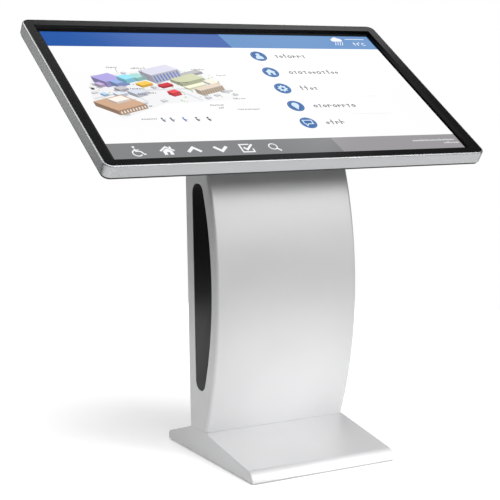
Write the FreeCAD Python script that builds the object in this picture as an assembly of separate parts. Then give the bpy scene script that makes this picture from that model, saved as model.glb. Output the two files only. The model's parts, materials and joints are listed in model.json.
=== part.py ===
import FreeCAD, Part
import math
import os

# Touchscreen kiosk: a wedge base, a slim pedestal with a bowed front, and a large display
# that leans back like a desk. Millimetres, +Z up. The origin is on the floor, under the
# middle of the base. The visitor stands at -Y.

V = FreeCAD.Vector

# ---- driving dimensions: pedestal and base -------------------------------------------
WIDTH = 378.0               # base and pedestal, outside
SHEET = 2.0                 # folded sheet
SEAM = 0.3                  # gap between neighbouring panels
HOLE_CLEAR = 0.15           # round a screw in its hole
RUN_CLEAR = 0.06            # radial, round anything that turns or slides

BASE_FRONT = 208.0          # nose, ahead of the origin
BASE_REAR = 208.0           # tail, behind the origin
BASE_EDGE = 3.0             # lower edge of the cover above the floor
NOSE_HEIGHT = 23.5          # where the front slope would meet the nose
NOSE_RADIUS = 25.0
TAIL_HEIGHT = 21.7
TAIL_RADIUS = 13.0
SEAT_HEIGHT = 62.0          # top of the base, which the pedestal stands on

BACK_FOOT = 89.0            # pedestal's back at the seat, behind the origin
BACK_LEAN = 2.2             # degrees
BOW_RADIUS = 888.0          # side view of the front panel
BOW_HEIGHT = 373.0          # where the front panel is furthest forward
BOW_FRONT = 42.6            # how far that is ahead of the origin
EDGE_RADIUS = 8.0           # long edges of the front panel
FRONT_RETURN = 12.0         # front panel's fold round onto the sides

SLOT_RADIUS = 700.0         # front edge of the black inset
SLOT_HEIGHT = 384.0
SLOT_FRONT = 16.4
SLOT_BACK_GAP = 31.0        # inset's back edge to the pedestal's back
SLOT_LOW = 158.0
SLOT_HIGH = 641.0
SLOT_CORNER = 23.0
SLOT_SINK = 0.8             # inset's face below the side panel's
SLOT_LIP = 7.0              # inset's flange behind the side panel

# ---- driving dimensions: ballast plate, feet, uprights --------------------------------
PLATE_LOW = 4.5
PLATE = 10.0
PLATE_SETBACK = 8.0         # plate's front edge behind the nose
ANCHOR_SPACING_X = 240.0
ANCHOR_SPACING_Y = 240.0
ANCHOR_HOLE = 6.5           # radius
FOOT_INSET = 39.0           # foot's centre to the side of the base
FOOT_SETBACK = 43.0         # foot's centre to the front or rear of the base
FOOT_RADIUS = 16.0
FOOT_PAD = 4.0
FOOT_STUD = 5.0
FOOT_TOP = 26.0
NUT_HEIGHT = 6.0
NUT_FLATS = 17.0
COVER_SCREW = 2.0           # shank radius
COVER_SCREW_INSET = 49.0    # outer screws to the side of the base
COVER_SCREW_REACH = 13.0    # their length in the plate

UPRIGHT_INSET = 49.0        # upright's centre to the pedestal's side
UPRIGHT_WIDTH = 40.0
UPRIGHT_DEPTH = 45.0
UPRIGHT_FRONT = 30.0        # y of the front face
UPRIGHT_WALL = 3.0
FLANGE = 6.0
FLANGE_WIDTH = 84.0
FLANGE_DEPTH = 58.0
FLANGE_BOLT_X = 34.0
FLANGE_BOLT_Y = 19.0
FLANGE_BOLT = 4.0
TIE_HEIGHT = 30.0
TIE_RISE = 8.0              # above the uprights' flanges

# ---- driving dimensions: rear door, lock, power entry ---------------------------------
DOOR_MARGIN = 40.0          # door's edge to the pedestal's side
DOOR_GAP = 1.0
DOOR_LOW = 110.0            # along the back, above the seat
DOOR_HIGH = 610.0
DOOR_FOLD = 8.0
DOOR_SLOT_ROWS = 6
DOOR_SLOT_PITCH = 9.0
DOOR_SLOT_HEIGHT = 3.5
DOOR_SLOT_X = 48.0          # middle of each column of slots
DOOR_SLOT_HALF = 36.0
DOOR_SLOT_DROP = 40.0       # top row below the door's top
HINGE_REACH = 3.0           # hinge axis beyond the door's edge
HINGE_RISE = 5.0            # hinge axis off the back's face
HINGE_KNUCKLE = 4.5
HINGE_PIN = 2.0
HINGE_LENGTH = 60.0
HINGE_END = 90.0            # hinge centre from the door's end
HINGE_LEAF = 26.0
LEAF = 2.0
LOCK_IN = 16.0              # lock axis from the door's free edge
LOCK_BODY = 9.0
LOCK_PLUG = 6.0
LOCK_REACH = 10.0           # lock's body behind the door's face
CAM = 2.0
CAM_LENGTH = 27.0
CAM_WIDTH = 12.0

INLET_X = -30.0
INLET_UP = 52.0
INLET_WIDTH = 28.0
INLET_HEIGHT = 20.5
SWITCH_X = 28.0
SWITCH_WIDTH = 14.0
SWITCH_HEIGHT = 26.0
SWITCH_DEPTH = 16.0
SWITCH_PIVOT = 1.5          # radius
INLET_SCREW = 1.6           # shank radius
ROCKER_TILT = 9.0           # degrees each way

EQUIPMENT = 3.0
EQUIPMENT_LOW = 150.0
EQUIPMENT_HIGH = 600.0
PLAYER_MARGIN = 25.0        # media player to the uprights
PLAYER_DEPTH = 42.0
PLAYER_LOW = 420.0
PLAYER_HIGH = 565.0
SUPPLY_MARGIN = 40.0        # power supply to the uprights
SUPPLY_DEPTH = 38.0
SUPPLY_LOW = 265.0
SUPPLY_HIGH = 365.0
FIN_PITCH = 8.0             # cooling fins and rows of air holes
DUCT_MARGIN = 2.0           # wiring duct to the left upright
DUCT_WIDTH = 18.0
DUCT_DEPTH = 30.0
DUCT_WALL = 1.5
DUCT_LOW = 190.0
DUCT_HIGH = 590.0

# ---- driving dimensions: head, in its own frame ---------------------------------------
# X across, Y up the screen, Z out of it; the front face is Z = 0 and depth is -Z.
HEAD_CENTRE_Y = 109.0
HEAD_CENTRE_Z = 858.7
HEAD_TILT = 32.5            # degrees from level
HEAD_WIDTH = 994.0
HEAD_HEIGHT = 582.0
HEAD_CORNER = 20.0
FRAME_DEPTH = 29.0
FRAME_WALL = 3.5
FRAME_EDGE = 3.0            # rounding of the front edge
FRAME_LIP = 12.0            # flange at the back of the frame
BEZEL_SINK = 0.5
BEZEL_BORDER = 25.0         # frame's outside to the opening
BEZEL_BEVEL = 2.5
BEZEL_DEPTH = 9.0
GLASS = 4.0
GLASS_OVERLAP = 8.0         # glass under the bezel
TOUCH_GAP = 0.5             # glass's edge to the touch frame
LCD_GAP = 1.0               # display's edge to the touch frame's window
COVER_INSET = 3.0           # rear cover inside the frame's outline
COVER_RIM = 14.0
COVER_SLOPE = 43.0
COVER_ROOM = 1.0            # beams to the inside of the rear cover
COVER_HEAD_SCREW = 1.6      # shank radius
HOUSING_HALF = 260.0
HOUSING_HIGH = 150.0
HOUSING_DEPTH = 38.0        # from the rear cover to its back, which sits on the pedestal
HOUSING_WALL = 2.5
HOUSING_CORNER = 18.0
HOUSING_FLANGE = 9.0
RAIL_X = 260.0
RAIL_WIDTH = 30.0
RAIL = 4.0
RAIL_LIP = 10.0
BEAM = 6.0
BEAM_HEIGHT = 30.0
NECK_MARGIN = 69.0          # neck box's side to the pedestal's side
NECK_LOW = -165.0
NECK_HIGH = -60.0
NECK_SKIRT = 25.0           # housing's lower edge below the neck box
NECK_WALL = 4.0
NECK_PLATE = 6.0
NECK_BOLT = 5.0
NECK_BOLT_INSET = 30.0      # bolts to the neck box's side
CABLE_HOLE = 15.0
CABLE_RADIUS = 4.0

FAN_DROP = 75.0             # fans' centre below the housing's top
FAN_SIZE = 92.0
FAN_DEPTH = 25.0
FAN_BORE = 42.0
FAN_HUB = 19.0
FAN_BLADES = 7
FAN_TIP_GAP = 1.5
FAN_SHAFT = 2.0
FAN_SCREW = 2.0             # shank radius
FAN_SCREW_PITCH = 82.5
GUARD = 2.0                 # pressed guard's thickness
GUARD_STRIP = 2.4           # width of its rings and bars
SPEAKER_INSET = 44.0        # speaker's centre to the housing's side
SPEAKER_RADIUS = 28.0
BOARD_CABLE_RISE = 16.0     # cable's socket on the board behind the rear cover
BOARD_HALF = 58.0
BOARD_HEIGHT = 108.0
BOARD_PILLAR_INSET = 6.0
BOARD_LOW = 12.0

# ---- worked out from these -------------------------------------------------------------
HALF = WIDTH / 2
FOOT_X = HALF - FOOT_INSET
COVER_SCREW_X = HALF - COVER_SCREW_INSET
UPRIGHT_X = HALF - UPRIGHT_INSET
BAY_HALF = UPRIGHT_X - UPRIGHT_WIDTH / 2    # room between the uprights
DOOR_HALF = HALF - DOOR_MARGIN
NECK_HALF = HALF - NECK_MARGIN
NECK_BOLT_X = NECK_HALF - NECK_BOLT_INSET
HOUSING_LOW = NECK_LOW - NECK_SKIRT
FAN_X = HOUSING_HALF / 2
FAN_Y = HOUSING_HIGH - FAN_DROP
SPEAKER_X = HOUSING_HALF - SPEAKER_INSET
PLATE_TOP = PLATE_LOW + PLATE
FLANGE_TOP = PLATE_TOP + FLANGE
BEZEL_BACK = BEZEL_SINK + BEZEL_DEPTH
GLASS_BACK = BEZEL_BACK + SEAM + GLASS
GLASS_INSET = BEZEL_BORDER + BEZEL_BEVEL - GLASS_OVERLAP
TOUCH_INSET = GLASS_INSET - TOUCH_GAP
LCD_INSET = TOUCH_INSET + LCD_GAP
BEAM_FRONT = FRAME_DEPTH + RAIL + RAIL_LIP
COVER_BAND = RAIL + SHEET                  # straight band of the rear cover, over the panel rails
COVER_DEPTH = BEAM_FRONT + BEAM + COVER_ROOM + SHEET    # back of the rear cover
HOUSING_BACK = COVER_DEPTH + HOUSING_DEPTH
NECK_BACK = HOUSING_BACK - HOUSING_WALL
COVER_FACE = HOUSING_BACK + SEAM            # depth at which the pedestal stops
BOARD_CABLE = COVER_DEPTH + BOARD_CABLE_RISE
BOW_AXIS = BOW_RADIUS - BOW_FRONT
SLOT_AXIS = SLOT_RADIUS - SLOT_FRONT
BIG = 2000.0


# ---- helpers ---------------------------------------------------------------------------
def box(x0, x1, y0, y1, z0, z1):
    return Part.makeBox(x1 - x0, y1 - y0, z1 - z0, V(x0, y0, z0))


def rod(radius, start, end):
    axis = V(*end) - V(*start)
    return Part.makeCylinder(radius, axis.Length, V(*start), axis)


def ring(outer, inner, start, end):
    return rod(outer, start, end).cut(rod(inner, start, end))


def fuse(shapes):
    return shapes[0].multiFuse(shapes[1:]).removeSplitter()


def prism_x(points, x0, x1):
    """A closed outline of (y, z) points, drawn out along X."""
    loop = [V(x0, y, z) for y, z in points]
    return Part.Face(Part.makePolygon(loop + loop[:1])).extrude(V(x1 - x0, 0, 0))


def prism_z(points, z0, z1):
    """A closed outline of (x, y) points, drawn out along Z."""
    loop = [V(x, y, z0) for x, y in points]
    return Part.Face(Part.makePolygon(loop + loop[:1])).extrude(V(0, 0, z1 - z0))


def hexagon(flats, x, y, z0, z1):
    radius = flats / 2 / math.cos(math.radians(30))
    corners = [math.radians(60 * i) for i in range(6)]
    return prism_z([(x + radius * math.cos(a), y + radius * math.sin(a)) for a in corners], z0, z1)


def inset_outline(points, insets):
    """Each edge of an anticlockwise outline moved inwards by its own amount."""
    lines = []
    for a, b, gap in zip(points, points[1:] + points[:1], insets):
        length = math.hypot(b[0] - a[0], b[1] - a[1])
        across, along = (a[1] - b[1]) / length, (b[0] - a[0]) / length
        lines.append((across, along, across * a[0] + along * a[1] + gap))
    corners = []
    for (p1, q1, c1), (p2, q2, c2) in zip(lines[-1:] + lines[:-1], lines):
        scale = p1 * q2 - q1 * p2
        corners.append(((c1 * q2 - c2 * q1) / scale, (p1 * c2 - p2 * c1) / scale))
    return corners


def along_axis(edge, axis):
    start, end = edge.firstVertex().Point, edge.lastVertex().Point
    step = end - start
    return step.Length > 0.01 and abs(abs(step.normalize().dot(axis)) - 1) < 1e-6


def round_x_edge(shape, radius, y, z):
    """Round the edge that runs along X through (y, z)."""
    near = [e for e in shape.Edges if along_axis(e, V(1, 0, 0))
            and math.hypot(e.firstVertex().Y - y, e.firstVertex().Z - z) < 0.01]
    return shape.makeFillet(radius, near)


def rounded_wire(x0, x1, y0, y1, corner, z):
    """A rectangle with round corners, at height z."""
    bend = corner * (1 - math.sqrt(0.5))
    edges = []
    sides = [(V(x0 + corner, y0, z), V(x1 - corner, y0, z)), (V(x1, y0 + corner, z), V(x1, y1 - corner, z)),
             (V(x1 - corner, y1, z), V(x0 + corner, y1, z)), (V(x0, y1 - corner, z), V(x0, y0 + corner, z))]
    middles = [V(x1 - bend, y0 + bend, z), V(x1 - bend, y1 - bend, z),
               V(x0 + bend, y1 - bend, z), V(x0 + bend, y0 + bend, z)]
    for i in range(4):
        edges.append(Part.makeLine(*sides[i]))
        edges.append(Part.Arc(sides[i][1], middles[i], sides[(i + 1) % 4][0]).toShape())
    return Part.Wire(edges)


def rounded_slab(x0, x1, y0, y1, corner, z0, z1):
    return Part.Face(rounded_wire(x0, x1, y0, y1, corner, z0)).extrude(V(0, 0, z1 - z0))


def head_slab(inset, depth0, depth1, corner=None):
    """A slab of the head's outline, moved in all round, between two depths."""
    corner = max(HEAD_CORNER - inset, 2.0) if corner is None else corner
    across, up = HEAD_WIDTH / 2 - inset, HEAD_HEIGHT / 2 - inset
    return rounded_slab(-across, across, -up, up, corner, -depth1, -depth0)


def head_taper(inset0, depth0, inset1, depth1, corner):
    """A solid whose outline goes from one inset to another between two depths."""
    wires = []
    for inset, depth in ((inset0, depth0), (inset1, depth1)):
        across, up = HEAD_WIDTH / 2 - inset, HEAD_HEIGHT / 2 - inset
        wires.append(rounded_wire(-across, across, -up, up, corner, -depth))
    return Part.makeLoft(wires, True, True)


def in_head(shape):
    """Place a shape that was made in the head's own frame."""
    turn = FreeCAD.Rotation(V(1, 0, 0), HEAD_TILT)
    shape.Placement = FreeCAD.Placement(V(0, HEAD_CENTRE_Y, HEAD_CENTRE_Z), turn).multiply(shape.Placement)
    return shape


def in_back(shape):
    """Place a shape made on the pedestal's back: Y is outwards, Z runs up the back from the seat."""
    turn = FreeCAD.Rotation(V(1, 0, 0), -BACK_LEAN)
    shape.Placement = FreeCAD.Placement(V(0, BACK_FOOT, SEAT_HEIGHT), turn).multiply(shape.Placement)
    return shape


def bow_cylinder(inset):
    """Everything behind the bowed front, moved in."""
    return rod(BOW_RADIUS - inset, (-BIG, BOW_AXIS, BOW_HEIGHT), (BIG, BOW_AXIS, BOW_HEIGHT))


def behind_head(depth):
    return in_head(box(-BIG, BIG, -BIG, BIG, -BIG, -depth))


def inside_back(inset):
    return in_back(box(-BIG, BIG, -BIG, -inset, -BIG, BIG))


def pedestal_block(inset, across, low, depth):
    """The pedestal's outline, moved in: across is its half width, depth where the head cuts it."""
    block = box(-across, across, -BIG, BIG, low, BIG).common(bow_cylinder(inset))
    return block.common(inside_back(inset)).common(behind_head(depth))


def round_bow_edges(block, radius, bow):
    edges = [e for e in block.Edges if isinstance(e.Curve, Part.Circle) and abs(e.Curve.Radius - bow) < 0.01]
    return block.makeFillet(radius, edges)


def slot_block(grow, x0, x1):
    """The outline of the black inset, moved out, between two places across."""
    block = box(x0, x1, -BIG, BIG, SLOT_LOW - grow, SLOT_HIGH + grow)
    front = rod(SLOT_RADIUS + grow, (-BIG, SLOT_AXIS, SLOT_HEIGHT), (BIG, SLOT_AXIS, SLOT_HEIGHT))
    block = block.common(front)
    block = block.common(inside_back(SLOT_BACK_GAP - grow))
    corners = [e for e in block.Edges if along_axis(e, V(1, 0, 0))]
    ends = [v.Y for v in block.Vertexes if v.Z < SLOT_HEIGHT]
    return block.makeFillet(min(SLOT_CORNER + grow, 0.56 * (max(ends) - min(ends))), corners)


def mirrored(shape):
    return shape.mirror(V(0, 0, 0), V(1, 0, 0))


def save(name, shapes):
    """Write one node: a solid, or a group of separate solids."""
    solids = [s for shape in shapes for s in shape.Solids]
    shape = solids[0] if len(solids) == 1 else Part.makeCompound(solids)
    shape.exportStep("parts/" + name + ".step")
    print(name, len(solids), "solids", round(shape.Volume / 1000, 1), "cm3")


# ---- base ------------------------------------------------------------------------------
def base_outline():
    front = BOW_AXIS - math.sqrt(BOW_RADIUS ** 2 - (SEAT_HEIGHT - BOW_HEIGHT) ** 2)
    return [(-BASE_FRONT, BASE_EDGE), (BASE_REAR, BASE_EDGE), (BASE_REAR, TAIL_HEIGHT),
            (BACK_FOOT, SEAT_HEIGHT), (front, SEAT_HEIGHT), (-BASE_FRONT, NOSE_HEIGHT)]


def cover_screw_places():
    return [(x, PLATE_LOW + PLATE / 2) for x in (-COVER_SCREW_X, 0.0, COVER_SCREW_X)]


def base_cover():
    nose = min(NOSE_RADIUS, 1.17 * (NOSE_HEIGHT - BASE_EDGE))
    outer = prism_x(base_outline(), -HALF, HALF)
    outer = round_x_edge(outer, nose, -BASE_FRONT, NOSE_HEIGHT)
    outer = round_x_edge(outer, TAIL_RADIUS, BASE_REAR, TAIL_HEIGHT)
    open_end = -2 * SHEET
    points = inset_outline(base_outline(), [open_end, SHEET, SHEET, open_end, SHEET, SHEET])
    inner = prism_x(points, -HALF + SHEET, HALF - SHEET)
    inner = round_x_edge(inner, nose - SHEET, *points[5])
    inner = round_x_edge(inner, TAIL_RADIUS - SHEET, *points[2])
    holes = [rod(COVER_SCREW + HOLE_CLEAR, (x, BASE_REAR - 2 * SHEET, z), (x, BASE_REAR + 1, z))
             for x, z in cover_screw_places()]
    return outer.cut([inner] + holes)


def foot_places():
    front, rear = FOOT_SETBACK - BASE_FRONT, BASE_REAR - FOOT_SETBACK
    return {"front_left": (-FOOT_X, front), "front_right": (FOOT_X, front),
            "rear_left": (-FOOT_X, rear), "rear_right": (FOOT_X, rear)}


def flange_bolt_places():
    middle = UPRIGHT_FRONT + UPRIGHT_DEPTH / 2
    return [(side * UPRIGHT_X + dx, middle + dy) for side in (-1, 1)
            for dx in (-FLANGE_BOLT_X, FLANGE_BOLT_X) for dy in (-FLANGE_BOLT_Y, FLANGE_BOLT_Y)]


def base_plate():
    edge = HALF - SHEET - SEAM
    rear = BASE_REAR - SHEET - 2 * SEAM
    plate = rounded_slab(-edge, edge, PLATE_SETBACK - BASE_FRONT, rear, 4.0, PLATE_LOW, PLATE_TOP)
    tools = []
    for x in (-ANCHOR_SPACING_X / 2, ANCHOR_SPACING_X / 2):
        for y in (-ANCHOR_SPACING_Y / 2, ANCHOR_SPACING_Y / 2):
            tools.append(rod(ANCHOR_HOLE, (x, y, 0), (x, y, PLATE_TOP + 1)))
    for x, y in foot_places().values():
        tools.append(rod(FOOT_STUD + RUN_CLEAR, (x, y, 0), (x, y, PLATE_TOP + 1)))
    for x, y in flange_bolt_places():
        tools.append(rod(FLANGE_BOLT + HOLE_CLEAR, (x, y, 0), (x, y, PLATE_TOP + 1)))
    for x, z in cover_screw_places():
        tools.append(rod(COVER_SCREW + HOLE_CLEAR, (x, rear - COVER_SCREW_REACH, z), (x, rear + 1, z)))
    return plate.cut(tools)


def socket_key(flats, x, y, z):
    """A hexagon socket tool that opens towards +Y."""
    key = hexagon(flats, 0, 0, 0, 3)
    key.rotate(V(0, 0, 0), V(1, 0, 0), -90)
    key.translate(V(x, y, z))
    return key


def cover_screws():
    screws = []
    for x, z in cover_screw_places():
        shank = rod(COVER_SCREW, (x, BASE_REAR - COVER_SCREW_REACH, z), (x, BASE_REAR + 0.5, z))
        head = rod(2 * COVER_SCREW, (x, BASE_REAR, z), (x, BASE_REAR + 2.2, z))
        socket = socket_key(2.4, x, BASE_REAR + 1.0, z)
        screws.append(fuse([shank, head]).cut(socket))
    return screws


def levelling_foot(x, y):
    pad = rod(FOOT_RADIUS, (x, y, 0), (x, y, FOOT_PAD))
    rim = [e for e in pad.Edges if isinstance(e.Curve, Part.Circle) and e.Vertexes[0].Z > FOOT_PAD / 2]
    pad = pad.makeFillet(1.2, rim)
    stud = rod(FOOT_STUD, (x, y, FOOT_PAD / 2), (x, y, FOOT_TOP))
    slot = box(x - FOOT_STUD, x + FOOT_STUD, y - 0.8, y + 0.8, FOOT_TOP - 2.5, FOOT_TOP + 1)
    return fuse([pad, stud]).cut(slot)


def foot_nuts():
    nuts = []
    for x, y in foot_places().values():
        nut = hexagon(NUT_FLATS, x, y, PLATE_TOP, PLATE_TOP + NUT_HEIGHT)
        nuts.append(nut.cut(rod(FOOT_STUD + RUN_CLEAR, (x, y, 0), (x, y, FOOT_TOP))))
    return nuts


# ---- pedestal: structure ----------------------------------------------------------------
def upright(side):
    x = side * UPRIGHT_X
    middle = UPRIGHT_FRONT + UPRIGHT_DEPTH / 2
    outer = box(x - UPRIGHT_WIDTH / 2, x + UPRIGHT_WIDTH / 2, UPRIGHT_FRONT, UPRIGHT_FRONT + UPRIGHT_DEPTH,
                PLATE_TOP, BIG)
    inner = box(x - UPRIGHT_WIDTH / 2 + UPRIGHT_WALL, x + UPRIGHT_WIDTH / 2 - UPRIGHT_WALL,
                UPRIGHT_FRONT + UPRIGHT_WALL, UPRIGHT_FRONT + UPRIGHT_DEPTH - UPRIGHT_WALL, 0, BIG)
    flange = box(x - FLANGE_WIDTH / 2, x + FLANGE_WIDTH / 2,
                 middle - FLANGE_DEPTH / 2, middle + FLANGE_DEPTH / 2, PLATE_TOP, FLANGE_TOP)
    holes = [rod(FLANGE_BOLT + HOLE_CLEAR, (bx, by, 0), (bx, by, FLANGE_TOP + 1))
             for bx, by in flange_bolt_places()]
    post = outer.common(behind_head(COVER_FACE + NECK_PLATE))
    return fuse([post, flange]).cut([inner] + holes)


def flange_bolts():
    bolts = []
    for x, y in flange_bolt_places():
        shank = rod(FLANGE_BOLT, (x, y, PLATE_LOW + 1), (x, y, FLANGE_TOP + 1))
        bolts.append(fuse([shank, hexagon(13.0, x, y, FLANGE_TOP, FLANGE_TOP + 5.3)]))
    return bolts


def lower_tie():
    end = BAY_HALF
    low = FLANGE_TOP + TIE_RISE
    outer = box(-end, end, UPRIGHT_FRONT, UPRIGHT_FRONT + UPRIGHT_DEPTH, low, low + TIE_HEIGHT)
    wall = UPRIGHT_WALL
    inner = box(-end, end, UPRIGHT_FRONT + wall, UPRIGHT_FRONT + UPRIGHT_DEPTH - wall, low + wall,
                low + TIE_HEIGHT - wall)
    return outer.cut(inner)


def neck_bolt_places():
    third = (NECK_HIGH - NECK_LOW) / 5
    return [(x, y) for x in (-NECK_BOLT_X, NECK_BOLT_X) for y in (NECK_LOW + third, NECK_HIGH - third)]


def cable_place():
    return (NECK_LOW + NECK_HIGH) / 2


def neck_hole(radius):
    return rod(radius, (0, cable_place(), -BIG), (0, cable_place(), -COVER_DEPTH - 10))


def neck_bolt_holes(depth0, depth1):
    return [rod(NECK_BOLT + HOLE_CLEAR, (x, y, -depth1), (x, y, -depth0)) for x, y in neck_bolt_places()]


def neck_plate():
    inset = SHEET + SEAM
    block = pedestal_block(inset, HALF - inset, SEAT_HEIGHT, COVER_FACE)
    block = round_bow_edges(block, EDGE_RADIUS, BOW_RADIUS - inset)
    plate = block.cut(behind_head(COVER_FACE + NECK_PLATE))
    tools = [neck_hole(CABLE_HOLE)] + neck_bolt_holes(COVER_FACE - 1, COVER_FACE + NECK_PLATE + 1)
    return plate.cut([in_head(tool) for tool in tools])


# ---- pedestal: panels -------------------------------------------------------------------
def front_panel():
    low = SEAT_HEIGHT + SEAM
    outer = round_bow_edges(pedestal_block(0, HALF, low, COVER_FACE), EDGE_RADIUS, BOW_RADIUS)
    inner = pedestal_block(SHEET, HALF - SHEET, low - 5, COVER_FACE - 5)
    inner = round_bow_edges(inner, EDGE_RADIUS - SHEET, BOW_RADIUS - SHEET)
    return outer.cut([inner, bow_cylinder(FRONT_RETURN)])


def side_panel():
    block = pedestal_block(0, HALF, SEAT_HEIGHT + SEAM, COVER_FACE).common(bow_cylinder(FRONT_RETURN + SEAM))
    sheet = block.common(box(-HALF, -HALF + SHEET, -BIG, BIG, 0, BIG))
    return sheet.cut(slot_block(0, -HALF - 1, -HALF + SHEET + 1))


def side_insert():
    face = -HALF + SLOT_SINK
    behind = -HALF + SHEET
    plug = slot_block(-SEAM, face, behind + 1)
    return fuse([plug, slot_block(SLOT_LIP, behind, behind + 1.6)])


def back_frame():
    edge = HALF - SHEET - SEAM
    block = pedestal_block(0, edge, SEAT_HEIGHT + SEAM, COVER_FACE)
    sheet = block.cut(inside_back(SHEET))
    opening = DOOR_HALF + DOOR_GAP
    tools = [box(-opening, opening, -2 * SHEET, SHEET, DOOR_LOW - DOOR_GAP, DOOR_HIGH + DOOR_GAP),
             inlet_block(HOLE_CLEAR, -2 * SHEET, SHEET), switch_block(HOLE_CLEAR, -2 * SHEET, SHEET)]
    tools += [rod(INLET_SCREW + HOLE_CLEAR, (x, -2 * SHEET, z), (x, SHEET, z))
              for x, z in inlet_screw_places()]
    return sheet.cut([in_back(tool) for tool in tools])


# ---- service door, hinges and lock ------------------------------------------------------
def hinge_axis():
    return -(DOOR_HALF + HINGE_REACH)


def hinge_heights():
    return [DOOR_LOW + HINGE_END, DOOR_HIGH - HINGE_END]


def lock_place():
    return DOOR_HALF - LOCK_IN, (DOOR_LOW + DOOR_HIGH) / 2


def service_door():
    panel = box(-DOOR_HALF, DOOR_HALF, -DOOR_FOLD, 0, DOOR_LOW, DOOR_HIGH)
    hollow = box(-DOOR_HALF + SHEET, DOOR_HALF - SHEET, -DOOR_FOLD - 1, -SHEET,
                 DOOR_LOW + SHEET, DOOR_HIGH - SHEET)
    x, z = lock_place()
    tools = [hollow, rod(LOCK_BODY + HOLE_CLEAR, (x, -DOOR_FOLD, z), (x, 1, z))]
    for row in range(DOOR_SLOT_ROWS):
        low = DOOR_HIGH - DOOR_SLOT_DROP - DOOR_SLOT_PITCH * row
        for middle in (-DOOR_SLOT_X, DOOR_SLOT_X):
            tools.append(box(middle - DOOR_SLOT_HALF, middle + DOOR_SLOT_HALF, -DOOR_FOLD, 1,
                             low, low + DOOR_SLOT_HEIGHT))
    return in_back(panel.cut(tools))


def knuckle(z0, z1):
    axis = hinge_axis()
    return rod(HINGE_KNUCKLE, (axis, HINGE_RISE, z0), (axis, HINGE_RISE, z1))


def frame_leaf(z):
    """Fixed leaf of one hinge, with its two outer knuckles."""
    half, third, axis = HINGE_LENGTH / 2, HINGE_LENGTH / 6, hinge_axis()
    leaf = box(axis - HINGE_LEAF, axis, 0, LEAF, z - half, z + half)
    notch = box(axis - HINGE_KNUCKLE - 1, axis + 1, -1, LEAF + 1, z - third - SEAM, z + third + SEAM)
    outer = [knuckle(z - half, z - third - SEAM), knuckle(z + third + SEAM, z + half)]
    bore = rod(HINGE_PIN, (axis, HINGE_RISE, z - half), (axis, HINGE_RISE, z + half))
    return fuse([leaf.cut(notch)] + outer).cut(bore)


def door_leaf(z):
    """Moving leaf of one hinge, with its middle knuckle."""
    half, third, axis = HINGE_LENGTH / 2, HINGE_LENGTH / 6, hinge_axis()
    edge = axis + HINGE_REACH + SEAM
    leaf = box(axis + HINGE_KNUCKLE + 1, axis + HINGE_LEAF, 0, LEAF, z - half, z + half)
    tab = box(edge, axis + HINGE_LEAF, 0, LEAF, z - third, z + third)
    bridge = box(axis, edge + 1, LEAF / 2, LEAF, z - third, z + third)
    bore = rod(HINGE_PIN + RUN_CLEAR, (axis, HINGE_RISE, z - half), (axis, HINGE_RISE, z + half))
    return fuse([leaf, tab, bridge, knuckle(z - third, z + third)]).cut(bore)


def hinge_pin(z):
    half = HINGE_LENGTH / 2
    return rod(HINGE_PIN, (hinge_axis(), HINGE_RISE, z - half), (hinge_axis(), HINGE_RISE, z + half))


def lock_body():
    x, z = lock_place()
    back = -LOCK_REACH
    body = rod(LOCK_BODY, (x, back, z), (x, 0.5, z))
    rim = rod(LOCK_BODY + 2, (x, 0, z), (x, 1.6, z))
    nut = ring(LOCK_BODY + 4, LOCK_BODY - 1, (x, -SHEET - 4, z), (x, -SHEET, z))
    return in_back(fuse([body, rim, nut]).cut(rod(LOCK_PLUG + RUN_CLEAR, (x, back - 1, z), (x, 3, z))))


def lock_plug():
    """The part that the key turns, with its cam; the cam points up while unlocked."""
    x, z = lock_place()
    back = -LOCK_REACH
    plug = rod(LOCK_PLUG, (x, back - SEAM - CAM, z), (x, 1.9, z))
    keyway = box(x - 0.8, x + 0.8, -4, 3, z - 3.2, z + 3.2)
    cam = box(x - CAM_WIDTH / 2, x + CAM_WIDTH / 2, back - SEAM - CAM, back - SEAM,
              z - CAM_WIDTH / 2, z + CAM_LENGTH)
    return in_back(fuse([plug, cam]).cut(keyway))


def lock_strike():
    """Bracket behind the back frame that the cam turns in behind."""
    x, z = lock_place()
    face = -LOCK_REACH + SEAM
    inner = DOOR_HALF + DOOR_GAP + 2
    outer = inner + 14
    lip = box(inner, outer, face, face + LEAF, z - 16, z + 16)
    leg = box(outer - LEAF, outer, face, -SHEET, z - 16, z + 16)
    foot = box(outer - LEAF, outer + 14, -SHEET - LEAF, -SHEET, z - 16, z + 16)
    return in_back(fuse([lip, leg, foot]))


# ---- power entry ------------------------------------------------------------------------
def inlet_block(grow, y0, y1):
    half = INLET_WIDTH / 2 + grow
    up = INLET_HEIGHT / 2 + grow
    return box(INLET_X - half, INLET_X + half, y0, y1, INLET_UP - up, INLET_UP + up)


def switch_block(grow, y0, y1):
    half = SWITCH_WIDTH / 2 + grow
    up = SWITCH_HEIGHT / 2 + grow
    return box(SWITCH_X - half, SWITCH_X + half, y0, y1, INLET_UP - up, INLET_UP + up)


def inlet_screw_places():
    return [(INLET_X + side * (INLET_WIDTH / 2 + 6), INLET_UP) for side in (-1, 1)]


def power_inlet():
    flange = box(INLET_X - INLET_WIDTH / 2 - 11, INLET_X + INLET_WIDTH / 2 + 11, 0, 2.5,
                 INLET_UP - INLET_HEIGHT / 2 - 2, INLET_UP + INLET_HEIGHT / 2 + 2)
    body = fuse([flange, inlet_block(0, -24, 1)])
    cavity = inlet_block(-2.2, -18, 4)
    holes = [rod(INLET_SCREW + HOLE_CLEAR, (x, -1, z), (x, 4, z)) for x, z in inlet_screw_places()]
    pins = [box(INLET_X + dx - 1, INLET_X + dx + 1, -19, -3, INLET_UP + dz - 2, INLET_UP + dz + 2)
            for dx, dz in ((-7, -2), (0, 3), (7, -2))]
    return in_back(fuse([body.cut([cavity] + holes)] + pins))


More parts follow.
